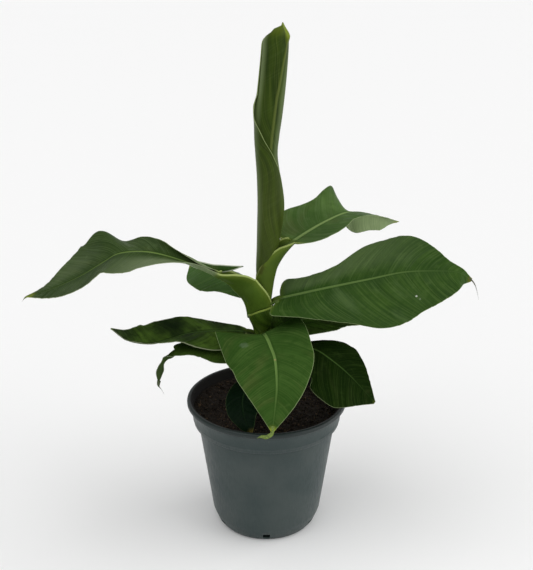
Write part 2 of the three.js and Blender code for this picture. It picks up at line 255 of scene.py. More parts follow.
class Nodes:
    """Builds one material's node tree with short calls."""

    def __init__(self, name: str) -> None:
        """Makes an empty material with a Principled surface.

        Args:
            name: The material's name.
        """
        self.material = bpy.data.materials.new(name)
        self.material.use_nodes = True
        self.tree = self.material.node_tree
        self.shader = self.tree.nodes["Principled BSDF"]

    def add(self, kind: str, inputs: dict | None = None, **settings: object) -> bpy.types.Node:
        """Adds a node.

        Args:
            kind: Its type, without the ShaderNode prefix.
            inputs: Values or sockets for its inputs, by name or number.
            **settings: Its other properties.

        Returns:
            The new node.
        """
        node = self.tree.nodes.new("ShaderNode" + kind)
        for key, value in settings.items():
            setattr(node, key, value)
        for key, value in (inputs or {}).items():
            self.put(node.inputs[key], value)
        return node

    def put(self, socket: Socket, value: object) -> None:
        """Links a socket to an output socket, or sets its value."""
        if isinstance(value, Socket):
            self.tree.links.new(value, socket)
        else:
            socket.default_value = value

    def attribute(self, name: str) -> Socket:
        """Returns a point attribute as a number."""
        return self.add("Attribute", attribute_name=name).outputs["Fac"]

    def math(self, operation: str, a: object, b: object = 0.0) -> Socket:
        """Returns a sum, product or other operation on two numbers."""
        return self.add("Math", {0: a, 1: b}, operation=operation).outputs[0]

    def span(self, value: object, low: float, high: float, to_low: float = 0.0, to_high: float = 1.0,
             ) -> Socket:
        """Returns a number mapped smoothly from low..high to to_low..to_high, clamped at both ends."""
        values = {"Value": value, "From Min": low, "From Max": high, "To Min": to_low, "To Max": to_high}
        return self.add("MapRange", values, interpolation_type="SMOOTHSTEP").outputs["Result"]

    def vector(self, x: object, y: object, z: object = 0.0) -> Socket:
        """Returns three numbers as one vector."""
        return self.add("CombineXYZ", {0: x, 1: y, 2: z}).outputs[0]

    def scaled(self, value: object, factor: float) -> Socket:
        """Returns a number times a factor."""
        return self.math("MULTIPLY", value, factor)

    def object_mm(self) -> Socket:
        """Returns the place on the object in millimetres."""
        coordinates = self.add("TexCoord").outputs["Object"]
        return self.add("VectorMath", {0: coordinates, 3: 1 / MM}, operation="SCALE").outputs[0]

    def noise(self, vector: object, scale: float, detail: float = 2.0, roughness: float = 0.5,
              ) -> Socket:
        """Returns smooth noise, about 0 to 1, with features about 1/scale apart."""
        values = {"Vector": vector, "Scale": scale, "Detail": detail, "Roughness": roughness}
        return self.add("TexNoise", values).outputs["Fac"]

    def mix(self, share: object, a: object, b: object) -> Socket:
        """Mixes two colours.

        Args:
            share: From 0, all a, to 1, all b.
            a: The first colour.
            b: The second colour.

        Returns:
            The mixed colour.
        """
        node = self.add("Mix", data_type="RGBA")
        self.put(node.inputs[0], share)
        self.put(node.inputs[6], a)
        self.put(node.inputs[7], b)
        return node.outputs[2]

    def coat(self, colour: object, paint: Colour, value: object, low: float, high: float,
             to_low: float = 0.0, to_high: float = 1.0) -> Socket:
        """Lays a paint over a colour, its cover following a value.

        Args:
            colour: The colour so far.
            paint: The paint's colour.
            value: The number that decides how well the paint covers.
            low: The value up to which the cover is to_low.
            high: The value from which the cover is to_high.
            to_low: The first cover, from 0 to 1.
            to_high: The last cover, from 0 to 1.

        Returns:
            The new colour.
        """
        return self.mix(self.span(value, low, high, to_low, to_high), colour, rgba(paint))

    def finish(self, colour: object, roughness: object, gloss: float = 0.5) -> None:
        """Sets what the surface looks like.

        Args:
            colour: Its colour.
            roughness: Its roughness, from 0 to 1.
            gloss: How strongly it mirrors.
        """
        self.put(self.shader.inputs["Base Color"], colour)
        self.put(self.shader.inputs["Roughness"], roughness)
        self.put(self.shader.inputs["Specular IOR Level"], gloss)

    def bump(self, height: object, depth_mm: float) -> None:
        """Raises the surface, on top of what has been raised so far.

        Args:
            height: How high, from 0 to 1.
            depth_mm: How far 1 stands out, in millimetres.
        """
        values = {"Height": height, "Strength": 1.0, "Distance": depth_mm * MM}
        chained = self.shader.inputs["Normal"].links
        if chained:
            values["Normal"] = chained[0].from_socket
        self.put(self.shader.inputs["Normal"], self.add("Bump", values).outputs["Normal"])


@dataclass(frozen=True)
class BlemishAndLightPatch:
    """A round mark on a finish, a real blemish or a painted patch of light or shade: its middle and radius in
    millimetres, its colour and how strong it is.
    """

    place: Triple
    radius: float
    colour: Colour
    strength: float = 0.8
    ragged: float = 0.5

    def mark(self, n: Nodes, colour: object) -> Socket:
        """Paints the mark over a colour, its rim broken up by noise.

        Args:
            n: The material in the making.
            colour: The colour so far.

        Returns:
            The new colour.
        """
        place = n.object_mm()
        away = n.add("VectorMath", {0: place, 1: self.place}, operation="DISTANCE").outputs["Value"]
        rim = n.scaled(n.math("SUBTRACT", n.noise(place, 2.5 / self.radius, 3.0), 0.5), 2 * self.ragged)
        share = n.math("ADD", n.scaled(away, 1 / self.radius), rim)
        return n.mix(n.span(share, 0.55, 1.1, self.strength, 0.0), colour, rgba(self.colour))


@dataclass(frozen=True)
class LeafSkin:
    """A leaf's finish: a softly glossy upper face with fine veins, and a paler, waxy lower face."""

    blade: Colour = (0.036, 0.084, 0.009)
    blade_dark: Colour = (0.019, 0.052, 0.006)
    vein: Colour = (0.072, 0.128, 0.030)
    olive_and_sheen: Colour = (0.062, 0.082, 0.022)
    rib: Colour = (0.105, 0.175, 0.045)
    margin: Colour = (0.240, 0.310, 0.140)
    under: Colour = (0.130, 0.190, 0.080)
    # painted sheen: the pale colour laid where light glances off the blade, as each half's bloom list gives
    # it
    bloom_and_sheen: Colour = (0.150, 0.200, 0.095)
    tip: Colour = (0.240, 0.290, 0.030)
    stalk: Colour = (0.044, 0.080, 0.008)
    bright: Colour = (0.110, 0.160, 0.018)
    lip: Colour = (0.300, 0.370, 0.110)
    margin_width: float = 0.35
    roughness: float = 0.40
    gloss: float = 0.07
    vein_pitch: float = 0.6
    band_pitch: float = 6.5
    relief: float = 0.32
    tip_start: float = 0.955
    blemishes_and_light_patches: tuple[BlemishAndLightPatch, ...] = ()

    def build(self, name: str) -> Material:
        """Builds the material.

        Veins are noise read at (vein / pitch, across / 40), where vein is the place along the midrib at
        which a point's own vein starts: it changes quickly from vein to vein and slowly along each.

        Args:
            name: The material's name.

        Returns:
            The finished material.
        """
        n = Nodes(name)
        across, vein = n.attribute("across"), n.attribute("vein")
        rib, edge = n.attribute("rib"), n.attribute("edge")
        under, share, stalk = n.attribute("under"), n.attribute("share"), n.attribute("stalk")
        place = n.object_mm()
        fine = n.noise(n.vector(n.scaled(vein, 1 / self.vein_pitch), n.scaled(across, 1 / 40)), 1.0, 1.5, 0.6)
        band = n.noise(n.vector(n.scaled(vein, 1 / self.band_pitch), n.scaled(across, 1 / 60)), 1.0, 1.0)
        sweep = n.noise(n.vector(n.scaled(vein, 1 / 14), n.scaled(across, 1 / 25), 4.0), 1.0, 2.0)
        patch = n.noise(place, 0.04, 3.0)
        colour = n.mix(n.span(patch, 0.3, 0.7), rgba(self.blade_dark), rgba(self.blade))
        # olive streaks along the veins; on leaf_right a lighter grey-green that paints the sheen along them
        colour = n.coat(colour, self.olive_and_sheen, sweep, 0.52, 0.72, 0.0, 0.6)
        colour = n.coat(colour, self.blade_dark, band, 0.35, 0.6, 0.5, 0.0)
        colour = n.coat(colour, self.vein, fine, 0.46, 0.7, 0.0, 0.5)
        colour = n.coat(colour, self.blade_dark, fine, 0.3, 0.5, 0.55, 0.0)
        mottle = n.noise(place, 0.14, 4.0, 0.62)
        colour = n.coat(colour, self.blade_dark, mottle, 0.5, 0.7, 0.0, 0.5)
        colour = n.coat(colour, self.vein, mottle, 0.28, 0.44, 0.3, 0.0)
        # painted sheen: paler patches along each half stand for light glancing off the blade
        colour = n.mix(n.scaled(n.attribute("bloom_and_sheen"), 0.85), colour, rgba(self.bloom_and_sheen))
        # painted shadow: a darker strip beside the midrib stands for the shadow along its groove
        colour = n.coat(colour, self.blade_dark, rib, 1.2, 2.6, 0.55, 0.0)
        below = n.coat(rgba(self.under), self.vein, fine, 0.4, 0.7, 0.0, 0.5)
        below = n.coat(below, self.blade, patch, 0.3, 0.7, 0.0, 0.3)
        colour = n.mix(under, colour, below)
        sleek = n.coat(rgba(self.stalk), self.blade_dark, patch, 0.35, 0.65, 0.0, 0.35)
        sleek = n.coat(sleek, self.bright, edge, 0.8, 6.0, 0.6, 0.0)
        colour = n.mix(stalk, colour, sleek)
        painted = n.math("MULTIPLY", n.span(rib, 0.7, 1.15, 0.9, 0.0), n.span(stalk, 0.2, 1.0, 1.0, 0.25))
        painted = n.math("MULTIPLY", painted, n.span(share, 0.5, 0.95, 1.0, 0.2))
        colour = n.mix(painted, colour, rgba(self.rib))
        colour = n.coat(colour, self.margin, edge, 0.4 * self.margin_width, self.margin_width, 0.8, 0.0)
        colour = n.mix(n.math("MULTIPLY", stalk, n.span(edge, 0.8, 1.5, 0.9, 0.0)), colour, rgba(self.lip))
        colour = n.coat(colour, self.tip, share, self.tip_start, 1.0, 0.0, 0.9)
        # real marks, and painted patches of light and shade
        for spot in self.blemishes_and_light_patches:
            colour = spot.mark(n, colour)
        uneven = n.span(n.noise(place, 0.12, 3.0), 0.3, 0.7, self.roughness - 0.06, self.roughness + 0.08)
        n.finish(colour, n.math("ADD", uneven, n.scaled(under, 0.15)), self.gloss)
        n.bump(n.math("ADD", n.scaled(fine, 0.6), band), self.relief)
        n.bump(n.noise(place, 1.6, 2.0), 0.02)
        return n.material


@dataclass(frozen=True)
class SheathSkin:
    """The finish of the stem and the rolled leaf: smooth, streaked lengthwise, with a waxy bloom and, on the
    rolled leaf, a painted highlight down its sides.
    """

    colour: Colour = (0.050, 0.080, 0.014)
    dark: Colour = (0.026, 0.050, 0.008)
    # colour of the waxy bloom, which on the rolled leaf also paints its highlight
    bloom_and_sheen: Colour = (0.110, 0.150, 0.075)
    rib: Colour = (0.150, 0.190, 0.050)
    edge: Colour = (0.180, 0.240, 0.090)
    tip: Colour = (0.150, 0.200, 0.012)
    edge_width: float = 0.45
    glow: float = 0.0
    veined: float = 0.0
    roughness: float = 0.42
    blemishes_and_light_patches: tuple[BlemishAndLightPatch, ...] = ()

    def build(self, name: str) -> Material:
        """Builds the material from the attributes around, height, edge, rib, tip and the one that carries the
        waxy bloom and painted highlight.

        Args:
            name: The material's name.

        Returns:
            The finished material.
        """
        n = Nodes(name)
        around, height = n.attribute("around"), n.attribute("height")
        streak = n.noise(n.vector(n.scaled(around, 1 / 0.8), n.scaled(height, 1 / 45)), 1.0, 2.0)
        broad = n.noise(n.vector(n.scaled(around, 1 / 5), n.scaled(height, 1 / 60)), 1.0, 2.0)
        colour = n.mix(n.span(broad, 0.3, 0.7), rgba(self.dark), rgba(self.colour))
        colour = n.coat(colour, self.rib, streak, 0.5, 0.75, 0.0, 0.35)
        colour = n.coat(colour, self.rib, height, 260.0, 310.0, self.glow, 0.0)
        slope = n.math("ADD", height, n.scaled(around, -0.55))
        vein = n.noise(n.vector(n.scaled(slope, 1 / 0.9), n.scaled(around, 1 / 30)), 1.0, 1.5)
        colour = n.coat(colour, self.bloom_and_sheen, vein, 0.5, 0.7, 0.0, 0.4 * self.veined)
        colour = n.coat(colour, self.dark, vein, 0.3, 0.45, 0.6 * self.veined, 0.0)
        # waxy bloom, and on the rolled leaf a painted highlight down its left side and a strip on its right
        colour = n.mix(n.scaled(n.attribute("bloom_and_sheen"), 0.65), colour, rgba(self.bloom_and_sheen))
        colour = n.coat(colour, self.rib, n.attribute("rib"), 0.3, 1.5, 0.75, 0.0)
        edge = n.attribute("edge")
        colour = n.coat(colour, self.edge, edge, 0.4 * self.edge_width, self.edge_width, 0.9, 0.0)
        colour = n.mix(n.attribute("tip"), colour, rgba(self.tip))
        for spot in self.blemishes_and_light_patches:
            colour = spot.mark(n, colour)
        n.finish(colour, n.span(broad, 0.3, 0.7, self.roughness - 0.06, self.roughness + 0.08), 0.08)
        n.bump(streak, 0.08)
        return n.material


@dataclass(frozen=True)
class PotPlastic:
    """The pot's finish: moulded dark slate plastic, satin, with faint scuffs and specks of peat."""

    colour: Colour = (0.021, 0.038, 0.037)
    inside: Colour = (0.007, 0.015, 0.014)
    grime: Colour = (0.004, 0.003, 0.002)
    scuff: Colour = (0.100, 0.112, 0.104)
    dirt: Colour = (0.020, 0.014, 0.009)
    lip_height: float = 99.1
    roughness: float = 0.42

    def build(self, name: str) -> Material:
        """Builds the material.

        Args:
            name: The material's name.

        Returns:
            The finished material.
        """
        n = Nodes(name)
        place = n.object_mm()
        split = n.add("SeparateXYZ", {0: place})
        cloud = n.noise(place, 0.03, 3.0)
        colour = n.coat(rgba(self.colour), self.scuff, cloud, 0.3, 0.7, 0.0, 0.22)
        upright = n.vector(split.outputs[0], split.outputs[1], n.scaled(split.outputs[2], 0.12))
        rub = n.noise(upright, 0.9, 3.0, 0.6)
        high = n.span(split.outputs[2], 60.0, 96.0)
        scuffed = n.math("MULTIPLY", n.span(rub, 0.62, 0.74, 0.0, 0.35), high)
        colour = n.mix(scuffed, colour, rgba(self.scuff))
        cells = n.add("TexVoronoi", {"Vector": place, "Scale": 0.16})
        chosen = n.math("GREATER_THAN", n.add("SeparateColor", {0: cells.outputs["Color"]}).outputs[0], 0.72)
        speck = n.math("MULTIPLY", n.span(cells.outputs["Distance"], 0.05, 0.11, 0.8, 0.0), chosen)
        colour = n.mix(n.math("MULTIPLY", speck, high), colour, rgba(self.dirt))
        top = self.lip_height
        colour = n.coat(colour, self.inside, split.outputs[2], top, top + 0.4, 0.0, 0.9)
        colour = n.mix(n.attribute("inside"), colour, rgba(self.grime))
        satin = n.span(rub, 0.3, 0.7, self.roughness - 0.05, self.roughness + 0.12)
        n.finish(colour, n.math("MAXIMUM", satin, n.scaled(n.attribute("inside"), 0.95)), 0.4)
        n.bump(n.noise(place, 2.2, 2.0), 0.02)
        return n.material


@dataclass(frozen=True)
class Peat:
    """The finish of the peat, its crumbs and its fibres: matt, dark and uneven."""

    dark: Colour = (0.004, 0.0028, 0.0018)
    brown: Colour = (0.025, 0.016, 0.009)
    light: Colour = (0.150, 0.095, 0.055)

    def build(self, name: str) -> Material:
        """Builds the material, lighter where the attribute tone is higher.

        Args:
            name: The material's name.

        Returns:
            The finished material.
        """
        n = Nodes(name)
        place = n.object_mm()
        tone = n.attribute("tone")
        grain = n.noise(place, 0.9, 4.0, 0.7)
        colour = n.coat(rgba(self.dark), self.brown, grain, 0.35, 0.7)
        n.finish(n.mix(tone, colour, rgba(self.light)), 0.92, 0.25)
        n.bump(grain, 0.5)
        return n.material


# ---------------------------------------------------------------- leaves


@dataclass
class Half:
    """One half of a leaf, in millimetres and degrees, its lists at even steps from stem to tip."""

    blade: list[float]
    foot: float = 7.0
    neck: float = 4.0
    lift: list[float] = field(default_factory=lambda: [0, 0])
    curl: list[float] = field(default_factory=lambda: [70, 0, 0, 0, 0])
    slant: tuple[float, float] | None = None
    rise: list[float] = field(default_factory=lambda: [0, 0])
    # painted sheen: how much paler, light-catching colour each step of the half gets
    bloom_and_sheen: list[float] = field(default_factory=lambda: [0, 0])
    wave: float = 0.5
    hook: float = 1.0


def across_midrib(left: Array, right: Array) -> Array:
    """Joins two halves' columns, each from the midrib outwards, into rows from margin to margin."""
    return np.concatenate([left[:, ::-1], right[:, 1:]], axis=1)


def both_faces(values: Array) -> Array:
    """Repeats the upper face's values for the lower face, which runs back the other way."""
    return np.concatenate([values, values[:, ::-1]], axis=1)


@dataclass
class Leaf:
    """A leaf with its stalk, as one closed shell with a grooved midrib above and a keel below."""

    name: str
    heading: float
    petiole: float
    slant: tuple[float, float]
    route: Table
    left: Half
    right: Half
    skin: LeafSkin
    roll: list[float] = field(default_factory=lambda: [0, 0])
    thickness: float = 0.5
    stalk_thickness: float = 1.3
    rib_depth: float = 1.3
    rib_width: float = 2.0
    rib_paint: float = 1.15
    groove: float = 0.9
    pleat: float = 0.13
    pleat_pitch: float = 8.0
    vein_bend: float = 0.35
    seed: int = 1
    steps: int = 260
    half_steps: int = 30
    shoulder: float = 0.07
    fan_end: float = 0.3
    foot_ease: float = 2.5
    root: float = 0.0
    ripples: float = 7.0
    crease_wander: float = 2.2
    nodes: tuple[str, ...] | None = None

    def frames(self, share: Array) -> tuple[Array, Array, Array, Array, float]:
        """Follows the midrib, a Catmull-Rom curve read at even arc length.

        The side vector is the level one to the left of the heading made square to the tangent, the up
        vector is tangent x side, and both turn about the tangent by the roll.

        Args:
            share: Shares of the midrib's length; below 0 the stalk runs on straight.

        Returns:
            Points, tangents, side vectors, up vectors and the midrib's length.
        """
        turn = math.radians(self.heading)
        ahead = np.array([math.cos(turn), math.sin(turn), 0])
        left = np.array([-math.sin(turn), math.cos(turn), 0])
        reach, sway, height = np.array(self.route, float).T
        knots = reach[:, None] * ahead + sway[:, None] * left + height[:, None] * np.array([0, 0, 1])
        dense = np.linspace(0, 1, ROUTE_POINTS)
        run = along(knots, dense)
        length = np.concatenate([[0], np.cumsum(np.linalg.norm(np.diff(run, axis=0), axis=1))])
        place = np.interp(share * length[-1], length, dense)
        tangent = unit(along(knots, place + ROUTE_STEP) - along(knots, place - ROUTE_STEP))
        side = unit(left - tangent * (tangent @ left)[:, None])
        up = np.cross(tangent, side)
        roll = np.radians(along(self.roll, share))[:, None]
        below = tangent * (np.minimum(share, 0) * length[-1])[:, None]
        return (along(knots, place) + below, tangent, side * np.cos(roll) + up * np.sin(roll),
                up * np.cos(roll) - side * np.sin(roll), float(length[-1]))

    def blade_share(self, share: Array) -> Array:
        """Returns the share of the blade at a share of the route, 0 all along the stalk."""
        return np.clip((share - self.petiole) / (1 - self.petiole), 0, 1)

    def width(self, half: Half, share: Array) -> Array:
        """Works out how wide a half is: foot to neck along the stalk, then the blade with a rounded base.

        Args:
            half: The half's measures.
            share: Shares of the route.

        Returns:
            The widths there.
        """
        s = self.blade_share(share)
        rounding = np.sqrt(1 - (1 - np.minimum(s / self.shoulder, 1)) ** 2)
        blade = half.neck * (1 - rounding) + along(half.blade, s) * rounding
        narrowing = np.clip(share / self.petiole, 0, 1) ** self.foot_ease
        return np.where(share <= self.petiole, half.foot + (half.neck - half.foot) * narrowing, blade)

    def lead(self, half: Half, share: Array) -> Array:
        """Works out how far a half's veins run ahead along the midrib for each millimetre outwards.

        Args:
            half: The half's measures.
            share: Shares of the route.

        Returns:
            The leads there.
        """
        base, beyond = half.slant or self.slant
        slant = base + (beyond - base) * smoothstep(self.blade_share(share), 0, self.fan_end)
        return np.where(share < self.petiole, 0, np.tan(np.radians(slant)))

    def veins(self, half: Half, share: Array, t: Array, length: float) -> Array:
        """Returns where along the midrib each point's vein starts: the veins bow towards the tip."""
        width = self.width(half, share)[:, None]
        return (share * length)[:, None] - self.vein_bend * width * t**2

    def middle(self, half: Half, sign: int, share: Array, t: Array) -> Array:
        """Middle surface of one half.

        Its section is an arc of length width * t that leaves the midrib at the lift and has turned by
        the curl at the margin, so the chord is width * t * sin(b) / b with b half the turn so far. The
        point also runs ahead along the midrib by the half's lead, or back round a base lobe by
        lead * t^hook. Pleats follow the veins, the margin flutters by seeded noise, and the rise lifts
        the margin where the list says so.

        Args:
            half: The half's measures.
            sign: 1 on the left, -1 on the right.
            share: Shares of the route, one for each section.
            t: Shares of the half's width, one for each column.

        Returns:
            Points, sections by columns by 3.
        """
        point, tangent, side, up, length = self.frames(share)
        s = self.blade_share(share)
        width = self.width(half, share)[:, None]
        lift = np.radians(along(half.lift, share))[:, None]
        curl = np.radians(along(half.curl, share))[:, None]
        bend = curl * t / 2
        chord = width * t * np.sinc(bend / np.pi)
        lead = self.lead(half, share)[:, None]
        open_blade = smoothstep(s, 0.02, 0.15)[:, None]
        flutter = lattice_noise(s[:, None] * self.ripples + 3, t * 1.5, self.seed + (sign > 0))
        flutter = flutter * half.wave * t**1.5 * 2
        vein = self.veins(half, share, t, length) * 2 * np.pi / self.pleat_pitch
        wander = self.crease_wander * lattice_noise(share * 9, 0.5, self.seed + 5)[:, None]
        crease = np.sin(vein + wander) + 0.45 * np.sin(2.3 * vein - wander)
        crease = crease * self.pleat * smoothstep(t, 0.04, 0.3) * (0.6 + 0.4 * np.cos(vein / 5.3))
        lifted = along(half.rise, share)[:, None] * t**1.5
        height = chord * np.sin(lift + bend) + (flutter + crease) * open_blade + lifted
        level = sign * chord * np.cos(lift + bend)
        ahead = width * lead * np.where(lead < 0, t**half.hook, t)
        return (point[:, None] + tangent[:, None] * ahead[..., None]
                + side[:, None] * level[..., None] + up[:, None] * height[..., None])

    def build(self) -> Piece:
        """Builds the leaf.

        The two halves' middle surfaces share the midrib's column. Both faces lie half a thickness off
        it along its normal; the keel adds a bell curve of the distance from the midrib below, and the
        groove takes a narrower one away above. Each section's ring runs over the upper face from the
        left margin to the right one and back under the lower face.

        Returns:
            The leaf's object.
        """
        blade = 0.5 - 0.5 * np.cos(np.linspace(0, np.pi, self.steps))
        blade = 0.35 * blade + 0.65 * np.linspace(0, 1, self.steps)
        length = self.frames(np.zeros(1))[4]
        stalk = np.linspace(-self.root / length, self.petiole, 2 + int(self.steps * self.petiole))[:-1]
        share = np.concatenate([stalk, self.petiole + (1 - self.petiole) * blade])
        t = np.linspace(0, 1, self.half_steps + 1) ** 1.15
        halves = [(self.left, 1), (self.right, -1)]
        left, right = (self.middle(half, sign, share, t) for half, sign in halves)
        sheet = across_midrib(left, right)
        normal = unit(np.cross(np.gradient(sheet, axis=0), np.gradient(sheet, axis=1)))
        normal *= np.sign(np.sum(normal * self.frames(share)[3][:, None], axis=(1, 2)))[:, None, None]
        widths = [self.width(half, share)[:, None] for half, _ in halves]
        across = across_midrib(widths[0] * t, -widths[1] * t)
        edge = across_midrib(*(width * (1 - t) for width in widths))
        vein = across_midrib(*(self.veins(half, share, t, length) for half, _ in halves))
        # painted sheen from each half's bloom list, stronger away from the midrib
        painted_sheens = (along(half.bloom_and_sheen, share)[:, None] * smoothstep(t, 0.1, 0.5) for half, _ in halves)
        s = self.blade_share(share)
        stalkness = (1 - smoothstep(s, 0.0, 0.04))[:, None] * (self.petiole > 0.01)
        tip = smoothstep(share, 0.985, 1.0)[:, None]
        thick = self.thickness + (self.stalk_thickness - self.thickness) * stalkness
        thick = thick * (1 - 0.4 * tip) * (0.6 + 0.4 * smoothstep(edge, 0.0, 1.2))
        fade = (1 - share)[:, None]
        paint = self.rib_paint * (0.25 + 0.75 * fade)
        keel = self.rib_depth * fade * np.exp(-((across / self.rib_width) ** 2))
        groove = self.groove * (0.15 + 0.85 * fade) * (1 - 0.6 * stalkness)
        hollow, shoulders = (np.exp(-((across / (reach * paint)) ** 2)) for reach in (0.85, 2.4))
        groove = groove * (hollow - 0.35 * shoulders)
        upper = sheet + normal * (thick / 2 - groove)[..., None]
        lower = sheet - normal * (thick / 2 + keel)[..., None]
        ring = np.concatenate([upper, lower[:, ::-1]], axis=1)
        shape = across.shape
        values = {
            "across": across,
            "edge": edge,
            "vein": vein + self.seed * 37.0,
            "rib": np.abs(across) / paint,
            "share": np.broadcast_to(share[:, None], shape),
            "stalk": np.broadcast_to(stalkness, shape),
            "bloom_and_sheen": across_midrib(*painted_sheens),
        }
        attributes = {key: both_faces(value) for key, value in values.items()}
        attributes["under"] = np.concatenate([np.zeros(shape), np.ones(shape)], axis=1)
        surface = Surface(ring.reshape(-1, 3), loft_faces(*ring.shape[:2]), attributes)
        nodes = (self.name,) if self.nodes is None else self.nodes
        return surface.object(self.name, self.skin.build(self.name + "_skin"), "leaf", nodes)


class LeafTone(Enum):
    """How each rank of leaves is coloured, from the youngest at the top to the lowest ones, whose shade is
    painted into their darker colours.
    """

    YOUNG = LeafSkin(blade=(0.040, 0.074, 0.013), blade_dark=(0.018, 0.040, 0.006), gloss=0.06,
                     vein=(0.090, 0.140, 0.050), rib=(0.150, 0.225, 0.075), under=(0.200, 0.265, 0.130))
    # painted shade: the lower leaves' colours are darkened for the shade they sit in
    LOW = LeafSkin(blade=(0.016, 0.034, 0.006), blade_dark=(0.006, 0.015, 0.003), rib=(0.050, 0.095, 0.022),
                   vein=(0.032, 0.058, 0.012), olive_and_sheen=(0.024, 0.034, 0.010), under=(0.050, 0.080, 0.028),
                   margin=(0.150, 0.190, 0.090), stalk=(0.014, 0.030, 0.004), lip=(0.120, 0.160, 0.050),
                   tip=(0.06, 0.08, 0.015), tip_start=0.975, gloss=0.04)
    # painted shade: the lowest leaf, down by the peat, is near black for the deep shade there
    LOWEST = LeafSkin(blade=(0.004, 0.014, 0.005), blade_dark=(0.002, 0.008, 0.003),
                      rib=(0.015, 0.034, 0.012), vein=(0.010, 0.026, 0.010), olive_and_sheen=(0.008, 0.016, 0.006),
                      under=(0.020, 0.034, 0.014), margin=(0.050, 0.080, 0.030), stalk=(0.008, 0.018, 0.003),
                      lip=(0.030, 0.050, 0.015), tip=(0.110, 0.085, 0.018), tip_start=0.93, gloss=0.03)


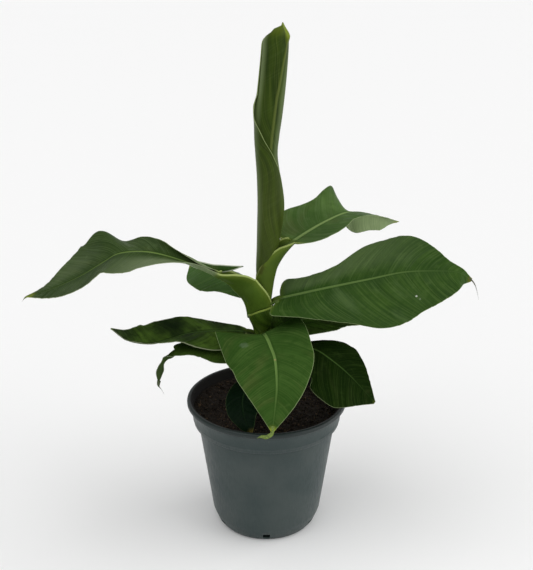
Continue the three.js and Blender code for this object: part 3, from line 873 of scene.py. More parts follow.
LEAVES = [
    Leaf(
        "leaf_upper_right", heading=34, petiole=0.27, slant=(-10, 25),
        route=[[3.8, 1.6, 190], [5.0, 1.2, 200], [7.2, 0.2, 209], [12.6, -2.3, 217.5], [24, -4, 225],
               [50, -3, 233], [76, -1, 236], [100, 0, 229], [124, 1, 219]],
        left=Half([25, 26, 21, 25, 27.5, 20.5, 14, 10, 1], foot=14, neck=4.5, slant=(-35, 22),
                  lift=[0, 0, 20, 34, 32, 34, 30, -55, -70, -70, -30],
                  curl=[150, 125, 90, 10, 0, 0, 0, 0, 0, 0, 0]),
        right=Half([15, 20, 19, 14, 12, 7, 5, 3, 1], foot=23.5, neck=5,
                   lift=[-10, -14, -15, 0, -2, 0, -3, -3, 0, 0, 0],
                   curl=[225, 190, 140, 20, 0, 0, 0, 0, 0, 0, 0]),
        skin=replace(LeafTone.YOUNG.value, blade=(0.092, 0.168, 0.040), blade_dark=(0.036, 0.080, 0.014),
                     under=(0.30, 0.39, 0.19), stalk=(0.075, 0.118, 0.014), rib=(0.190, 0.275, 0.090),
                     margin_width=0.3,
                     blemishes_and_light_patches=(BlemishAndLightPatch((-7, -8, 209), 7.0, (0.036, 0.032, 0.009), 0.6, 0.6),)),
        rib_paint=1.7, shoulder=0.035, foot_ease=2.6, root=12, seed=11,
    ),
    Leaf(
        "leaf_upper_left", heading=186, petiole=0.24, slant=(0, 25),
        nodes=("stalk_upper_left", "leaf_upper_left"),
        route=[[12.2, -0.5, 168.5], [13.0, -0.3, 174], [14.4, 0.4, 179.5], [17, 1.6, 185], [22, 3, 191],
               [31, 6.5, 201], [58, 12, 217], [83, 11, 225], [103, 11, 225], [115, 11, 219], [132, 11, 209],
               [153, 11, 200], [170, 10, 195]],
        left=Half([6, 9, 25, 28, 25, 20, 17.5, 9.5, 1], foot=22, neck=6.5,
                  lift=[4, 12, 13, 30, 17, 10, 10, 7, 2, -6, -14, -13, -9, 2, -4, -5, -6, -10, -14, -13, -12],
                  curl=[150, 125, 105, 85, 70, 50, 40, 25, 10, 0, 0, 0, 0, 0, 0, 0, 0, 0, 0, 0, 0],
                  # the bloom lists paint sheen where the near half catches the light
                  bloom_and_sheen=[0, 0, 0, 0.3, 0.9, 0.8, 0.3, 0.1, 0.1, 0, 0]),
        right=Half([4.2, 7, 9, 20, 32, 29, 20, 9, 1], foot=15, neck=4,
                   lift=[0, 0, 0, 5, 10, 5, 0, 0, 0, 5, 12, 3, 18, 21, 20, 19, 18, 17, 16, 13, 10],
                   curl=[125, 100, 60, 230, 150, 0, 0, 0, 0, 0, 0],
                   rise=[0, 0, 0, 0, 0, 2, 0, 0, 0, 0, 0],
                   bloom_and_sheen=[0, 0, 0, 0, 0, 0.1, 0, 0.2, 0.3, 0.2, 0]),
        skin=replace(LeafTone.YOUNG.value, blade=(0.034, 0.064, 0.010), margin=(0.30, 0.35, 0.20),
                     lip=(0.36, 0.44, 0.14), stalk=(0.066, 0.120, 0.012), rib=(0.130, 0.200, 0.050)),
        rib_paint=1.5, foot_ease=3.3, seed=23,
    ),
    Leaf(
        "leaf_upper_left_lobe", heading=0, petiole=0.001, slant=(0, 0), nodes=(),
        route=[[-74, -1, 219.5], [-65, -3, 216.5], [-56, -5, 213], [-47, -6, 210.3], [-38, -7, 208.5],
               [-28, -7.5, 209], [-16.5, -7, 210]],
        left=Half([0.6, 1.4, 2.4, 3, 3, 2, 0.4], lift=[40, 50, 60, 60, 40], curl=[0, 0], wave=0.1),
        right=Half([0.6, 1.2, 2.2, 3, 3.2, 2.4, 0.4], lift=[-40, -60, -70, -70, -50], curl=[-20, -20],
                   wave=0.1),
        # painted shade: the dark tip colour stands for the shade on the lobe's end by the stem
        skin=LeafSkin(margin=(0.60, 0.65, 0.50), margin_width=1.0, tip=(0.02, 0.04, 0.01)),
        thickness=0.6, rib_paint=0.01, rib_depth=0.0, groove=0.0, pleat=0.03, seed=29, steps=120,
        half_steps=10,
    ),
    Leaf(
        "leaf_right", heading=-12, petiole=0.15, slant=(-20, 25), roll=[0, 30, 33, 33, 30],
        route=[[0, -0.5, 164], [1, -0.5, 173], [4.5, -1, 180.5], [12, -1, 184.5], [28, -2, 190],
               [47, -2, 196], [75, -1, 204], [99, -1, 211], [122, -2, 214], [136, -2, 214], [145, -2, 209]],
        # the left half's bloom list paints light onto the far half, brighter where light falls
        left=Half([18, 15, 20, 36, 39, 35.5, 23, 9, 1], foot=3, neck=3, lift=[0, 0, -9, -9, -9],
                  slant=(-6, 18), hook=0.6, bloom_and_sheen=[0, 0.15, 0.3, 0.3, 0.35, 0.3, 0.2, 0.1, 0, 0, 0]),
        right=Half([19, 21, 31, 40.5, 39.5, 33, 26, 16, 1], foot=4, neck=5, lift=[0, 0, -9, -9, -9],
                   slant=(-28, 25), hook=0.7),
        skin=LeafSkin(tip=(0.16, 0.17, 0.02), tip_start=0.975, lip=(0.07, 0.12, 0.02), vein_pitch=1.0,
                      # painted sheen: a lighter grey-green streak colour for long highlights along the veins
                      olive_and_sheen=(0.066, 0.116, 0.036),
                      blemishes_and_light_patches=(BlemishAndLightPatch((103.4, -38.4, 199.6), 0.8, (0.55, 0.58, 0.5), 0.9),
                                 BlemishAndLightPatch((106.0, -40.2, 197.9), 1.1, (0.4, 0.45, 0.35), 0.9, 0.2))),
        shoulder=0.05, rib_paint=1.4, pleat=0.2, seed=31, steps=320,
    ),
    Leaf(
        "leaf_front", heading=-90, petiole=0.19, slant=(-10, 25),
        route=[[3, -3, 143], [7, -3, 151], [12, -2.5, 157.5], [18, -1.5, 161.5], [26, 0.5, 162], [36, 3, 160],
               [52, 6, 157], [72, 7, 148], [84, 6, 139], [92, 4, 124]],
        left=Half([25, 29, 27.5, 25.5, 22, 18, 13, 7, 1], foot=4, neck=3, lift=[0, 8, 3, 0, 0],
                  curl=[60, 20, 0, 0, 0], slant=(-33, 25), hook=0.28),
        right=Half([33, 34.5, 33.5, 30, 26, 21, 15, 8, 1], foot=4, neck=3, curl=[60, 0, 0, 0, 0],
                   slant=(-25, 25)),
        skin=LeafSkin(blade=(0.043, 0.096, 0.018), blade_dark=(0.024, 0.061, 0.010),
                      # painted shade: the stalk and its lip are dark for the shade in the stalk's channel
                      # under the leaves above
                      rib=(0.135, 0.225, 0.060), lip=(0.030, 0.060, 0.008), stalk=(0.016, 0.034, 0.004),
                      gloss=0.0, roughness=0.5, vein_pitch=0.7, relief=0.2,
                      # painted highlight: the first mark is a soft pale glint; painted shadow: the second,
                      # dark green, stands for the shade that the base of leaf_right casts on the right lobe's
                      # top; the third is a brown spot
                      blemishes_and_light_patches=(BlemishAndLightPatch((-16, -33.5, 160), 3.6, (0.12, 0.17, 0.10), 0.4, 0.5),
                                 BlemishAndLightPatch((20, -1, 168), 15.0, (0.012, 0.030, 0.004), 0.75, 0.15),
                                 BlemishAndLightPatch((6, -51, 156.5), 1.4, (0.30, 0.24, 0.10), 0.8))),
        rib_paint=1.6, shoulder=0.03, seed=43,
    ),
    Leaf(
        "leaf_left", heading=183, petiole=0.12, slant=(-10, 25),
        route=[[7.5, 0, 146], [10, 0, 153], [20, -1, 157], [38, -2, 157], [56, -2, 155.5], [73, -1, 151],
               [86, 1, 149], [102, 1, 152], [114, 0, 161]],
        left=Half([16, 24, 23.5, 20, 18, 17, 12.5, 6, 1], lift=[0, -14, -12, 2, 12, 22, 28, 25, 20]),
        right=Half([5, 10, 17, 22, 23, 22, 20, 12, 1], lift=[0, 0, 3, 9, 13, 18, 22, 21, 12, 5, 2],
                   slant=(-10, 17), wave=0.2),
        skin=replace(LeafTone.LOW.value, blade=(0.080, 0.150, 0.020), tip=(0.10, 0.17, 0.02), gloss=0.02,
                     roughness=0.5, margin=(0.26, 0.29, 0.18), margin_width=1.0),
        seed=53,
    ),
    Leaf(
        "leaf_low_left", heading=188, petiole=0.17, slant=(-10, 20),
        route=[[6.5, 0, 130], [8, 0, 139], [16, 1, 146], [30, 1, 149], [51, 1, 150], [63, 1.5, 149.5],
               [68.5, 1, 146.5], [74.5, 0, 140], [78, -0.5, 134], [79.5, -1, 127], [80.5, -1, 120]],
        roll=[0, 0, 0, 0, 0, 0, 5, 40, 70, 75],
        left=Half([12, 21, 24, 19, 14, 12, 7.5, 2.2, 3.2, 0.6], lift=[0, -10, -10, -10, 30]),
        right=Half([10, 18, 20, 21, 21, 19, 11, 2.4, 3.0, 0.6], lift=[0, -20, -20, -20, 20]),
        skin=replace(LeafTone.LOW.value, blade=(0.060, 0.112, 0.016), blade_dark=(0.024, 0.050, 0.008),
                     margin=(0.2, 0.24, 0.14), gloss=0.0),
        seed=61,
    ),
    Leaf(
        "leaf_low_right", heading=-31, petiole=0.2, slant=(-10, 25),
        route=[[6, 0, 124], [7.5, 0, 135], [15, -1, 145], [27, 0, 150], [40, 1, 151], [53, 0, 147],
               [69, 1, 137], [89, 1, 121]],
        left=Half([12, 18, 22.5, 31, 33.5, 27.5, 18, 9, 1], lift=[0, -5, -5, -3, 0], slant=(-10, 10)),
        right=Half([9, 17, 24, 29, 31, 29, 22, 12, 1], lift=[0, -25, -25, -20, -10]),
        # painted shade: a near-black blade for the shade this leaf lies in, low under the leaves above
        skin=replace(LeafTone.LOW.value, blade=(0.007, 0.018, 0.002), gloss=0.0, roughness=0.5),
        seed=71,
    ),
    Leaf(
        "leaf_back_right", heading=25, petiole=0.12, slant=(-10, 20),
        route=[[4.8, 0.5, 142], [5.2, 0.5, 151], [12, 2, 158], [29, 2, 160], [55, 3, 157], [86, 4, 151],
               [108, 4, 145]],
        left=Half([12, 18, 22, 23, 22, 20, 15, 9, 1]),
        right=Half([17, 25, 25, 22, 19, 15, 11, 7, 1], neck=6, slant=(-32, 20), hook=0.6),
        skin=replace(LeafTone.LOW.value, blade=(0.055, 0.118, 0.016), margin=(0.3, 0.34, 0.22), gloss=0.0,
                     roughness=0.5),
        seed=83,
    ),
    Leaf(
        "leaf_back", heading=147, petiole=0.26, slant=(-10, 10),
        route=[[4.5, -1.5, 163], [6, -1.5, 175], [14, -3, 187], [28, -4, 195], [47, -3, 198], [70, -2, 195]],
        left=Half([10, 17, 23, 27, 28, 26, 23, 16, 1], lift=[0, -15, -22, -24, -24]),
        right=Half([8, 12, 14, 15, 15, 14, 12, 8, 1], lift=[0, -20, -30, -30, -30]),
        skin=LeafSkin(blade=(0.082, 0.168, 0.040), blade_dark=(0.034, 0.082, 0.015)),
        seed=97,
    ),
    Leaf(
        "leaf_soil", heading=-107, petiole=0.2, slant=(-10, 20),
        route=[[7, 0, 106], [8, 0, 114], [12, -3, 121], [19, -7, 121], [30, -9, 114], [41, -4, 105],
               [47, 3, 97]],
        left=Half([6, 9, 11, 12, 12, 11, 8, 5, 1], foot=3, neck=3),
        right=Half([6, 9, 11, 12, 12, 11, 8, 5, 1], foot=3, neck=3),
        skin=LeafTone.LOWEST.value, seed=101, steps=160,
    ),
]


@dataclass
class DryTip:
    """The withered thread at a leaf's end: a flattened tube along a curled route, thinning to nothing."""

    name: str
    route: Table
    widths: list[float]
    colour: Colour
    flat: float = 0.35
    twist: float = 90.0
    steps: int = 60
    sides: int = 12

    def build(self) -> Piece:
        """Builds the thread: an ellipse, flat times as thick as wide, carried along the route and twisted.

        Returns:
            Its object.
        """
        share = np.linspace(0, 1, self.steps)
        line = along(np.array(self.route, float), share)
        tangent = unit(np.gradient(line, axis=0))
        side = unit(np.cross(tangent, np.array([0.2, 1.0, 0.1])))
        up = np.cross(tangent, side)
        turn = np.radians(self.twist) * share[:, None]
        angle = bearings(self.sides)
        half = along(self.widths, share)[:, None] / 2
        a, b = half * np.cos(angle), half * self.flat * np.sin(angle)
        x, y = a * np.cos(turn) - b * np.sin(turn), a * np.sin(turn) + b * np.cos(turn)
        points = line[:, None] + side[:, None] * x[..., None] + up[:, None] * y[..., None]
        body = np.concatenate([line[:1], points.reshape(-1, 3), line[-1:]])
        n = Nodes(self.name + "_skin")
        streak = n.noise(n.object_mm(), 1.2, 2.0)
        darker = tuple(0.45 * v for v in self.colour)
        n.finish(n.coat(rgba(darker), self.colour, streak, 0.3, 0.7), 0.6)
        n.bump(streak, 0.1)
        return Surface(body, lathe_faces(self.steps, self.sides)).object(self.name, n.material, "leaf")


DRY_TIPS = [
    DryTip("tip_front",
           [[4, -91, 127], [3.5, -93, 122.5], [0, -94, 120.5], [-3.5, -93.5, 120.5], [-6.5, -93, 119]],
           [2.6, 2.6, 2.8, 2.2, 0.3], (0.16, 0.24, 0.03)),
    DryTip("tip_right",
           [[140, -33, 211], [143, -34, 208], [145, -34, 204], [146.5, -34, 199], [147.5, -34, 195]],
           [1.4, 1.0, 0.6, 0.4, 0.15], (0.10, 0.11, 0.05)),
    DryTip("tip_upper_left", [[-165, -27.5, 196.4], [-169, -28, 194.4], [-171.5, -28.2, 191.5]],
           [1.4, 1.3, 0.2], (0.16, 0.22, 0.04)),
    DryTip("tip_low_left", [[-79.5, -12, 122], [-80, -12, 118], [-78, -12, 115], [-76, -12, 111]],
           [3.0, 2.4, 0.8, 0.2], (0.06, 0.09, 0.02)),
]


# ---------------------------------------------------------------- stem and rolled leaf


@dataclass
class Spear:
    """The rolled new leaf: one sheet wound round itself, its top slanting up to a folded tip."""

    rings: Table = field(default_factory=lambda: [
        [-1.4, 0, 197, 5.4, 14], [-1.0, 0, 206, 6.6, 10], [0.5, 0, 222, 7.6, 4], [2.2, 0, 240, 8.9, -2],
        [2.9, 0, 256, 9.3, -8], [1.6, 0, 275, 8.4, -18], [0.2, 0, 290, 7.9, -55], [0.4, 0, 303, 8.7, -106],
        [1.6, 0, 318, 9.5, -150], [4.0, 0, 340, 9.4, -170], [5.7, 0, 360, 9.1, -180],
        [6.0, 0, 369, 8.9, -190], [6.2, 0, 381, 8.4, -200],
    ])
    rib_bearing: Table = field(default_factory=lambda: [
        [197, -60], [290, -68], [331, -65], [354, -48], [366, -32], [379, -12],
    ])
    rim: Table = field(default_factory=lambda: [
        [-180, 370.5], [-150, 372.0], [-120, 373.6], [-95, 376.2], [-70, 377.2], [-45, 378.0], [-25, 379.2],
        [-12, 379.9], [0, 378.6], [20, 373.0], [50, 368.5], [90, 366.5], [130, 367.0], [180, 370.5],
    ])
    lip: float = 0.10
    wall: float = 0.5
    tuck: float = 24.0
    inside_depth: float = 26.0
    tip_side: float = -0.2
    rim_round: float = 3.0
    rim_reach: float = 6.0
    loose_edge: float = 2.2
    loose_width: float = 3.5
    rib_height: float = 0.4
    hidden: float = 30.0
    # bearing of the roll's side with the painted highlight
    pale_side: float = 186.0
    steps: int = 300
    sides: int = 180

    def build(self) -> Piece:
        """Builds the roll.

        Going once round from its free edge the radius grows from r (1 - lip / 2) to r (1 + lip / 2), so
        the sheet's edge stands out over its own start. The edge is one wall thick, and the ring turns
        in under it by the tuck before it closes. The rim's height is a curve of the bearing. Under the
        rim the sheet rounds in, but for the tip, which flares out and then leans in; over the rim it
        turns and runs down inside.

        Returns:
            The roll's object.
        """
        up = np.linspace(0, 1, self.steps)[:, None] ** 0.9
        turn = np.linspace(math.radians(self.tuck) * 0.3, 2 * np.pi, self.sides)[None]
        fold = np.array([2 * np.pi, 2 * np.pi - math.radians(self.tuck)])[None]
        angle = np.concatenate([turn, fold], axis=1)
        table = along(np.array(self.rings, float), np.linspace(0, 1, 1200)).T
        bottom = self.rings[0][2]
        top_bearing = angle + np.radians(self.rings[-2][4])
        rim_bearing, rim_height = np.array(self.rim, float).T
        facing = np.degrees((top_bearing + np.pi) % (2 * np.pi) - np.pi)
        rim = np.interp(facing, rim_bearing, rim_height)

        def place(height: Array, inset: float | Array) -> tuple[Array, Array, Array]:
            """Places the sheet's points at some heights.

            Args:
                height: The heights, one for each point.
                inset: How far the points lie in from the sheet's outer face.

            Returns:
                The points, their bearings and their radii.
            """
            x, y, radius, lean = (np.interp(height, table[2], table[k]) for k in (0, 1, 3, 4))
            swell = radius * (1 + self.lip * (angle / (2 * np.pi) - 0.5))
            under = np.concatenate([np.zeros(self.sides), np.full(2, self.wall)])[None]
            bearing = angle + np.radians(lean)
            at_tip = smoothstep(np.cos(bearing - self.tip_side), 0.75, 0.97)
            near = np.clip((height - rim + self.rim_reach) / self.rim_reach, 0, 1)
            rounding = self.rim_round * (1 - np.sqrt(1 - 0.98 * near**2)) * (1 - at_tip)
            flare = 0.9 * smoothstep(height, 366, 370.5) - 4.2 * smoothstep(height, 370, 380)
            loose = self.loose_edge * smoothstep(height, 306, 318) * (1 - smoothstep(height, 324, 333))
            free = np.exp(-((2 * np.pi - angle) * radius / self.loose_width)) * loose
            r = np.maximum(swell - under - inset - rounding + at_tip * flare + free, 0.3)
            return turned(x, y, r, bearing, height), bearing, r

        outer_height = bottom + (rim - bottom) * up
        outer, bearing, radius = place(outer_height, 0.0)
        down = np.linspace(0, 1, 30)[:, None]
        inner, _, _ = place(rim - self.inside_depth * down, self.wall + 3.5 * down)
        inner[0, :, 2] -= 0.1
        points = np.concatenate([outer, inner])
        foot, floor = points[0].mean(axis=0), points[-1].mean(axis=0) - [0, 0, 1]
        rings, count = points.shape[:2]
        total = rings * count
        caps = [fan_faces(total, 0, count, -1), fan_faces(total + 1, total - count, count, 1)]
        faces = [ring_faces(rings, count), np.concatenate(caps)]
        rib_z, rib_a = np.array(self.rib_bearing, float).T
        away = (bearing - np.radians(np.interp(outer_height, rib_z, rib_a)) + np.pi) % (2 * np.pi) - np.pi
        wrapped = smoothstep(angle, 3.0, 3.3)
        distance = np.abs(away) * radius + self.hidden * wrapped
        rib = self.rib_height * np.exp(-(distance**2))
        out = np.stack([np.cos(bearing), np.sin(bearing), 0 * bearing], -1)
        points[: len(outer)] += out * rib[..., None]
        edge = np.where(np.arange(count) >= self.sides, 0.0, (2 * np.pi - angle) * radius)
        edge = np.minimum(edge, (rim - outer_height) * 0.8 + 0.3)
        # painted highlight: the side facing pale_side and a strip right of the midrib are paler where light
        # falls on the roll, over its waxy bloom
        left = np.cos(bearing - np.radians(self.pale_side))
        right = smoothstep(away, 0.15, 0.5) * smoothstep(np.cos(bearing), 0.2, 0.6)
        bloom_and_sheen = wrapped * 0.55 * smoothstep(left, 0.55, 1.0)
        bloom_and_sheen = bloom_and_sheen + (1 - wrapped) * (smoothstep(left, 0.6, 0.97) + 0.6 * right)
        at_tip = smoothstep(np.cos(bearing - self.tip_side), 0.8, 0.97)
        tip = smoothstep(outer_height, 365, 372) * at_tip + 0.35 * smoothstep(outer_height, 368, 378)
        inside = np.zeros(inner.shape[0] * count)
        values = {
            "around": (angle * radius, 0.0),
            "height": (outer_height, 0.0),
            "rib": (distance / 0.95, FAR),
            "edge": (edge, FAR),
            "bloom_and_sheen": (bloom_and_sheen, 0.0),
            "tip": (np.clip(tip, 0, 1), 0.3),
        }
        attributes = {
            key: np.concatenate([np.broadcast_to(value, outer.shape[:2]).ravel(), inside + within, [0, 0]])
            for key, (value, within) in values.items()
        }
        surface = Surface(np.concatenate([points.reshape(-1, 3), [foot, floor]]), faces, attributes)
        skin = SheathSkin(colour=(0.036, 0.064, 0.005), dark=(0.017, 0.033, 0.003),
                          bloom_and_sheen=(0.150, 0.200, 0.080), rib=(0.105, 0.135, 0.028), edge=(0.30, 0.38, 0.15),
                          veined=0.12, glow=0.2)
        return surface.object("spear", skin.build("spear_skin"), "sheath", ("spear",))


@dataclass
class Collar:
    """The mouth of an older leaf base round the stem: a thin open sleeve with a slanting rolled lip."""

    name: str
    middle: Table
    lip: Table
    wall: float = 0.7
    unevenness: float = 0.08
    steps: int = 60
    sides: int = 120

    def build(self) -> Piece:
        """Builds the sleeve: its outer face rises to the lip, a half circle turns over it, and its inner
        face runs back down; the lip's height is a curve of the bearing.

        Returns:
            Its object.
        """
        angle = bearings(self.sides)
        bearing, height = np.array(self.lip, float).T
        lip = np.interp(np.degrees(angle) % 360, bearing, height, period=360)
        base = self.middle[0][2]
        up = np.linspace(0, 1, self.steps)[:, None]
        over = np.linspace(0, np.pi, 9)[1:-1, None]
        rise = base + (lip - base) * up
        heights = np.concatenate([rise, lip + self.wall / 2 * np.sin(over), rise[::-1]])
        inset = np.concatenate([0 * up, self.wall / 2 * (1 - np.cos(over)), self.wall + 0 * up])
        table = along(np.array(self.middle, float), np.linspace(0, 1, 400)).T
        x, y, radius = (np.interp(heights, table[2], table[k]) for k in (0, 1, 3))
        r = radius - inset + self.unevenness * lattice_noise(angle * 8, heights / 9, 3)
        points = turned(x, y, r, angle, heights)
        faces = ring_faces(len(points), self.sides, closed=True)
        surface = Surface(points.reshape(-1, 3), [faces], {
            "around": (angle * r).ravel(),
            "height": heights.ravel(),
            "rib": np.full(r.size, FAR),
            "edge": np.maximum(lip - heights, 0).ravel(),
            "bloom_and_sheen": np.zeros(r.size),
            "tip": np.zeros(r.size),
        })
        skin = SheathSkin(colour=(0.050, 0.096, 0.008), dark=(0.024, 0.052, 0.005), edge=(0.24, 0.32, 0.06),
                          edge_width=1.2)
        return surface.object(self.name, skin.build(self.name + "_skin"), "sheath")


COLLARS = [
    Collar("sheath_mouth",
           [[-2.2, -1, 146, 5.6], [-3.2, -1, 156, 5.9], [-3.6, -1, 162, 6.9], [-4.4, -1.2, 168, 8.6],
            [-4.6, -1.4, 175, 9.5], [-4.6, -1.4, 182, 9.6]],
           [[0, 177.5], [60, 173], [120, 169], [180, 170.5], [221, 172.8], [242, 174.9], [266, 176.9],
            [289, 177.8], [314, 178.4]]),
]


@dataclass
class Stem:
    """The stem: wrapped leaf bases whose free edges wind up it as low steps."""

    rings: Table = field(default_factory=lambda: [
        [0, 0, 92.5, 8.9], [0, 0, 106, 7.6], [0, 0, 125, 6.6], [-1, 0, 145, 5.8],
        [-3.0, -0.6, 165, 4.9], [-3.2, -0.6, 185, 4.6], [-1.6, 0, 204, 4.6],
    ])
    edges: int = 3
    step: float = 0.55
    winding: float = 150.0
    unevenness: float = 0.06
    steps: int = 200
    sides: int = 144

    def build(self) -> Piece:
        """Builds the stem: the radius grows round each wrapped base and steps back at its edge.

        Returns:
            The stem's object.
        """
        share = np.linspace(0, 1, self.steps)
        x, y, z, radius = along(np.array(self.rings, float), share).T
        angle = bearings(self.sides)
        twist = np.radians(self.winding) * share[:, None] + 0.5 * np.sin(5 * share)[:, None]
        phase = ((angle - twist) * self.edges / (2 * np.pi)) % 1
        swell = self.step * (phase * smoothstep(1 - phase, 0.0, 0.04) - 0.5)
        r = radius[:, None] + swell + self.unevenness * lattice_noise(angle * 9, share[:, None] * 6, 7)
        x, y, z = x[:, None], y[:, None], z[:, None]
        points = turned(x, y, r, angle, z)
        ends = np.hstack([x, y, z])[[0, -1]]
        body = np.concatenate([ends[:1], points.reshape(-1, 3), ends[1:]])
        values = {
            "around": (angle * r, 0.0),
            "height": (z, z[0, 0]),
            "rib": (FAR, FAR),
            "edge": ((1 - phase) * 2 * np.pi * r / self.edges, FAR),
            "bloom_and_sheen": (0.2, 0.0),
            "tip": (0.0, 0.0),
        }
        attributes = {
            key: np.concatenate([[end], np.broadcast_to(value, r.shape).ravel(), [end]])
            for key, (value, end) in values.items()
        }
        surface = Surface(body, lathe_faces(self.steps, self.sides), attributes)
        stain = BlemishAndLightPatch((-8, -7, 207), 9.0, (0.032, 0.030, 0.012), 0.55)
        skin = SheathSkin(colour=(0.034, 0.060, 0.007), dark=(0.016, 0.032, 0.004), blemishes_and_light_patches=(stain,))
        return surface.object("stem", skin.build("stem_skin"), "sheath", ("stem",))


# ---------------------------------------------------------------- pot and peat


@dataclass
class Pot:
    """The nursery pot, turned about its axis, with drain slots cut where its wall meets its floor."""

    band_depth: float = 19.0
    band_radius: float = 55.0
    body_radius: float = 51.6
    knee_radius: float = 41.5
    knee_height: float = 12.4
    foot_radius: float = 35.5
    wall: float = 1.3
    floor_rise: float = 0.6
    slots: int = 6
    slot_height: float = 4.6
    slot_half: tuple[float, float] = (2.6, 1.7)
    slot_reach: tuple[float, float] = (-1.7, 8.3)
    sides: int = 256

    def profile(self) -> Array:
        """Works out the outline, from under the floor, out and over the rim, to the floor inside.

        Returns:
            Its corners as rows of radius, height and 1 if inside the pot, else 0.
        """
        _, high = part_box("pot")
        rim, height = high[0] / MM, high[2] / MM
        foot, knee, body, brim = self.foot_radius, self.knee_radius, self.body_radius, self.band_radius
        band = height - self.band_depth
        outside = [
            [foot - 2.5, self.floor_rise], [foot - 2.0, 0.1], [foot - 1.4, 0], [foot - 0.4, 0],
            [foot + 0.2, 0.5], [foot + 2.1, 2.9], [foot + 2.6, 3.6], [knee - 1.0, 9.6],
            [knee, self.knee_height], [body - 0.15, band - 1.6], [body, band - 0.4],
            [body + 0.9, band + 0.2], [brim - 0.7, band + 0.5], [brim, band + 1.3], [brim + 0.4, band + 4.0],
            [brim + 0.75, band + 4.3], [brim + 0.6, band + 4.9], [rim - 2.6, height - 5.0],
            [rim - 2.1, height - 4.2], [rim - 0.7, height - 3.7], [rim - 0.1, height - 2.9],
            [rim, height - 1.7], [rim - 0.2, height - 0.7], [rim - 0.9, height - 0.1], [rim - 1.6, height],
        ]
        inside = [
            [rim - 3.1, height - 0.1], [rim - 3.8, height - 0.6], [rim - 4.2, height - 1.6],
            [brim - self.wall, band + 1.2], [body - self.wall, band - 0.8],
            [knee - self.wall, self.knee_height], [foot - 0.6, 2.1], [foot - 1.6, self.wall],
        ]
        flags = [0.0] * len(outside) + [1.0] * len(inside)
        return np.column_stack([outside + inside, flags])

    def build(self) -> Piece:
        """Builds the pot: the outline is turned about the axis, and a box is cut out for each slot.

        Returns:
            The pot's object.
        """
        profile = self.profile()
        angle = bearings(self.sides)
        points = turned(0, 0, profile[:, :1], angle, profile[:, 1:2])
        body = np.concatenate([[[0, 0, self.floor_rise]], points.reshape(-1, 3), [[0, 0, self.wall]]])
        flags = np.concatenate([[0], np.repeat(profile[:, 2], self.sides), [1]])
        surface = Surface(body, lathe_faces(len(profile), self.sides), {"inside": flags})
        piece = surface.object("pot", PotPlastic().build("pot_plastic"), "pot_plastic", ("pot",))
        for i in range(self.slots):
            self.cut_slot(piece, math.radians(i * 360 / self.slots - 90))
        return piece

    def cut_slot(self, pot: Piece, bearing: float) -> None:
        """Cuts one drain slot, a box across the foot's corner.

        Args:
            pot: The pot's object.
            bearing: The slot's direction from the axis, in radians.
        """
        section = np.array([[-1, -1], [1, -1], [1, 1], [-1, 1]], float) * self.slot_half
        ends = [self.foot_radius + reach for reach in self.slot_reach]
        points = np.array([[x, y, z + self.slot_height] for x in ends for y, z in section])
        cos, sin = math.cos(bearing), math.sin(bearing)
        turn = np.array([[cos, -sin, 0], [sin, cos, 0], [0, 0, 1]])
        mesh = bpy.data.meshes.new("slot")
        faces = [(0, 3, 2, 1), (4, 5, 6, 7), (0, 1, 5, 4), (1, 2, 6, 5), (2, 3, 7, 6), (3, 0, 4, 7)]
        mesh.from_pydata((points @ turn.T * MM).tolist(), [], faces)
        cutter = bpy.data.objects.new("slot", mesh)
        bpy.context.scene.collection.objects.link(cutter)
        cut = pot.modifiers.new("slot", "BOOLEAN")
        cut.object, cut.operation, cut.solver = cutter, "DIFFERENCE", "EXACT"
        bpy.context.view_layer.update()
        graph = bpy.context.evaluated_depsgraph_get()
        finished = bpy.data.meshes.new_from_object(pot.evaluated_get(graph))
        pot.modifiers.remove(cut)
        old, pot.data = pot.data, finished
        bpy.data.meshes.remove(old)
        bpy.data.objects.remove(cutter)
        bpy.data.meshes.remove(mesh)


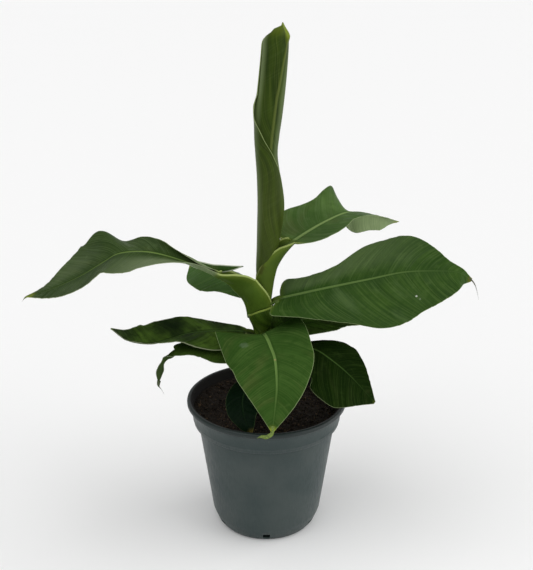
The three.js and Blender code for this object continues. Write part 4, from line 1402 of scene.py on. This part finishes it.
@dataclass
class PeatBed:
    """The peat: a rough bed that fills the pot, with crumbs and fibres on it."""

    sink: float = 1.5
    heap: float = 4.0
    settle: float = 0.9
    spill: float = 0.006
    inset: float = 0.995
    under: float = 0.2
    lumps: tuple[Triple, ...] = ((18, 40, 0.7), (7, 40, 0.6), (3, 40, 0.45), (1.3, 60, 0.28))
    crumb_reach: float = 52.5
    fibre_reach: float = 53.0
    crumbs: int = 1500
    fibres: int = 700
    rings: int = 150
    sides: int = 400
    seed: int = 5

    def heaped(self, x: Array, y: Array) -> Array:
        """Returns how far the peat is pushed up against the wall, at the back left."""
        return self.heap * smoothstep(0.5 * y - x, 22, 58)

    def height(self, x: Array, y: Array) -> Array:
        """Height of the bed, a low mound at the stem with lumps of 18, 7, 3 and 1.3 mm.

        Args:
            x: Places across the pot.
            y: Places from front to back.

        Returns:
            The heights there.
        """
        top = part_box("soil")[1][2] / MM
        radius = np.hypot(x, y)
        mound = top - self.sink * smoothstep(radius, 14, 54) - self.settle
        lumps = sum(
            rise * lattice_noise(x / size + shift, y / size + shift, seed)
            for seed, (size, shift, rise) in enumerate(self.lumps, 1)
        )
        return mound + self.heaped(x, y) + lumps * (1 - 0.7 * smoothstep(radius, 51, 54))

    def build(self) -> list[Piece]:
        """Builds the bed, the crumbs and the fibres.

        Returns:
            Their objects.
        """
        material = Peat().build("peat")
        low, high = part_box("soil")
        reach, floor = high[0] / MM, low[2] / MM + self.under
        angle = bearings(self.sides)
        r = reach * self.inset * np.sqrt(np.linspace(0, 1, self.rings + 1)[1:])[:, None]
        x, y = r * np.cos(angle), r * np.sin(angle)
        spread = 1 + self.spill * self.heaped(x, y)
        top = np.stack([x * spread, y * spread, self.height(x, y)], -1)
        down = np.array([[reach - 2.2, 85.2], [reach - 5.5, 82.5], [38.5, 12.5], [33, floor]])
        rings = np.concatenate([top, turned(0, 0, down[:, :1], angle, down[:, 1:])])[::-1]
        centre = np.array([[0, 0, float(self.height(np.zeros(1), np.zeros(1))[0])]])
        body = np.concatenate([[[0, 0, floor]], rings.reshape(-1, 3), centre])
        bed = Surface(body, lathe_faces(len(rings), self.sides), {"tone": np.zeros(len(body))})
        piece = bed.object("peat_bed", material, "peat", ("soil",))
        return [piece, self.crumb_piece(material), self.fibre_piece(material)]

    def scatter(self, rng: np.random.Generator, count: int) -> tuple[Array, Array, Array]:
        """Spreads points evenly over the bed, but for its very middle.

        Args:
            rng: Where the random numbers come from.
            count: How many points.

        Returns:
            Their x, y and height.
        """
        radius = self.crumb_reach * np.sqrt(rng.uniform(0.03, 1, count))
        angle = rng.uniform(0, 2 * np.pi, count)
        x, y = radius * np.cos(angle), radius * np.sin(angle)
        return x, y, self.height(x, y)

    def crumb_piece(self, material: Material) -> Piece:
        """Builds the crumbs: icosahedra whose corners are moved in or out, stretched and turned.

        Args:
            material: Their finish.

        Returns:
            Their object.
        """
        rng = np.random.default_rng(self.seed)
        g = (1 + math.sqrt(5)) / 2
        corners = unit(np.array([
            [-1, g, 0], [1, g, 0], [-1, -g, 0], [1, -g, 0], [0, -1, g], [0, 1, g],
            [0, -1, -g], [0, 1, -g], [g, 0, -1], [g, 0, 1], [-g, 0, -1], [-g, 0, 1],
        ], float))
        faces = np.array([[0, 11, 5], [0, 5, 1], [0, 1, 7], [0, 7, 10], [0, 10, 11], [1, 5, 9], [5, 11, 4],
                          [11, 10, 2], [10, 7, 6], [7, 1, 8], [3, 9, 4], [3, 4, 2], [3, 2, 6], [3, 6, 8],
                          [3, 8, 9], [4, 9, 5], [2, 4, 11], [6, 2, 10], [8, 6, 7], [9, 8, 1]])
        x, y, z = self.scatter(rng, self.crumbs)
        size = rng.uniform(0.25, 0.6, self.crumbs) * rng.choice([1, 1, 1, 1.8, 2.6], self.crumbs)
        stretch = rng.uniform(0.6, 1.2, (self.crumbs, 1, 3))
        turn = np.linalg.qr(rng.normal(size=(self.crumbs, 3, 3)))[0]
        turn *= np.sign(np.linalg.det(turn))[:, None, None]
        lump = corners * rng.uniform(0.7, 1.15, (self.crumbs, len(corners), 1)) * stretch
        points = np.einsum("nij,nkj->nki", turn, lump) * size[:, None, None]
        points += np.stack([x, y, z + 0.25 * size], -1)[:, None]
        offset = len(corners) * np.arange(self.crumbs)[:, None, None]
        tone = rng.choice([0.0, 0.1, 0.25, 0.6], self.crumbs, p=[0.5, 0.25, 0.18, 0.07])
        tone = np.repeat(tone, len(corners))
        surface = Surface(points.reshape(-1, 3), [(faces[None] + offset).reshape(-1, 3)], {"tone": tone})
        return surface.object("peat_crumbs", material, "peat", smooth=False)

    def fibre_piece(self, material: Material) -> Piece:
        """Builds the fibres: three-sided tubes along short arcs on the bed, tapering to both ends.

        Args:
            material: Their finish.

        Returns:
            Their object.
        """
        rng = np.random.default_rng(self.seed + 1)
        rings, count = 6, 3
        total = rings * count
        x, y, _ = self.scatter(rng, self.fibres)
        heading = rng.uniform(0, 2 * np.pi, self.fibres)[:, None]
        length = rng.uniform(1.5, 6, self.fibres)[:, None]
        bend = rng.uniform(-1.5, 1.5, self.fibres)[:, None]
        s = np.linspace(-0.5, 0.5, rings)[None]
        course = heading + bend * s
        px = x[:, None] + length * s * np.cos(course)
        py = y[:, None] + length * s * np.sin(course)
        inside = np.minimum(1, self.fibre_reach / np.maximum(np.hypot(px, py), 1e-6))
        px, py = px * inside, py * inside
        pz = self.height(px, py) + 0.25 + rng.uniform(-0.1, 0.5, self.fibres)[:, None] * (0.25 - s**2) * 4
        radius = rng.uniform(0.07, 0.17, self.fibres)[:, None] * (1.15 - 3 * s**2)
        side = np.stack([-np.sin(course), np.cos(course), 0 * course], -1)
        around = 2 * np.pi * np.arange(count) / count
        axis = np.stack([px, py, pz], -1)[:, :, None]
        up = np.array([0, 0, 1.0])
        points = axis + radius[..., None, None] * (
            side[:, :, None] * np.cos(around)[:, None] + up * np.sin(around)[:, None])
        tube = ring_faces(rings, count)[:, [1, 0, 3, 2]]
        ends = np.array([[0, 1, 2], [total - 1, total - 2, total - 3]])
        offset = total * np.arange(self.fibres)[:, None, None]
        tone = np.repeat(rng.uniform(0.1, 1.0, self.fibres) ** 2, total)
        faces = [(tube[None] + offset).reshape(-1, 4), (ends[None] + offset).reshape(-1, 3)]
        surface = Surface(points.reshape(-1, 3), faces, {"tone": tone})
        return surface.object("peat_fibres", material, "peat")


# ---------------------------------------------------------------- stage


@dataclass
class Stage:
    """The floor, the soft lights and the camera, placed from the pot's box."""

    distance: float = 0.8
    elevation: float = 26.93
    pitch: float = 20.885
    lens: float = 66.44
    floor_size: float = 16.0
    floor_colour: Colour = (0.93, 0.93, 0.93)
    world_strength: float = 0.55
    suns: tuple[tuple[str, Triple, float, float], ...] = (
        ("key", (-0.35, -0.40, 1.0), 0.95, 60.0), ("fill", (0.95, -0.08, 0.42), 1.55, 70.0),
    )

    def build(self) -> None:
        """Builds the floor, the world, the lights and the camera."""
        scene = bpy.context.scene
        half = self.floor_size / 2
        mesh = bpy.data.meshes.new("floor")
        square = [(-half, -half, 0), (half, -half, 0), (half, half, 0), (-half, half, 0)]
        mesh.from_pydata(square, [], [(0, 1, 2, 3)])
        floor = bpy.data.objects.new("floor", mesh)
        scene.collection.objects.link(floor)
        n = Nodes("floor_paint")
        n.finish(rgba(self.floor_colour), 0.9)
        mesh.materials.append(n.material)
        world = bpy.data.worlds.new("studio")
        world.use_nodes = True
        sky = world.node_tree.nodes["Background"]
        sky.inputs["Color"].default_value = (1, 1, 1, 1)
        sky.inputs["Strength"].default_value = self.world_strength
        scene.world = world
        scene.view_settings.view_transform = "Standard"
        for sun in self.suns:
            self.sun(*sun)
        self.camera()

    def sun(self, name: str, place: Triple, power: float, spread: float) -> None:
        """Adds a soft distant light, even all over the floor.

        Args:
            name: The light's name.
            place: Where it shines from, as a direction seen from the plant.
            power: Its strength.
            spread: How wide it looks from the plant, in degrees.
        """
        data = bpy.data.lights.new(name, "SUN")
        data.energy, data.angle = power, math.radians(spread)
        lamp = bpy.data.objects.new(name, data)
        x, y, z = place
        lamp.rotation_euler = (math.atan2(math.hypot(x, y), z), 0, math.atan2(y, x) + math.pi / 2)
        lamp.location = place
        bpy.context.scene.collection.objects.link(lamp)

    def camera(self) -> None:
        """Adds the camera: in front of the pot's rim at the given distance, looking slightly down."""
        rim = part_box("pot")[1][2]
        rise = math.radians(self.elevation)
        data = bpy.data.cameras.new("camera")
        data.lens = self.lens
        eye = bpy.data.objects.new("camera", data)
        eye.location = (0, -self.distance * math.cos(rise), rim + self.distance * math.sin(rise))
        eye.rotation_euler = (math.radians(90 - self.pitch), 0, 0)
        bpy.context.scene.collection.objects.link(eye)
        bpy.context.scene.camera = eye


def corners(box: tuple[Array, Array]) -> Table:
    """Returns a box's two corners as plain lists."""
    return [[float(v) for v in corner] for corner in box]


def main() -> None:
    """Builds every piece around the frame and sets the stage."""
    logging.basicConfig(level=logging.INFO, format="%(name)s: %(message)s")
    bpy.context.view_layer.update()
    Pot().build()
    PeatBed().build()
    Stem().build()
    Spear().build()
    for part in [*COLLARS, *LEAVES, *DRY_TIPS]:
        part.build()
    Stage().build()


if __name__ == "__main__":
    main()
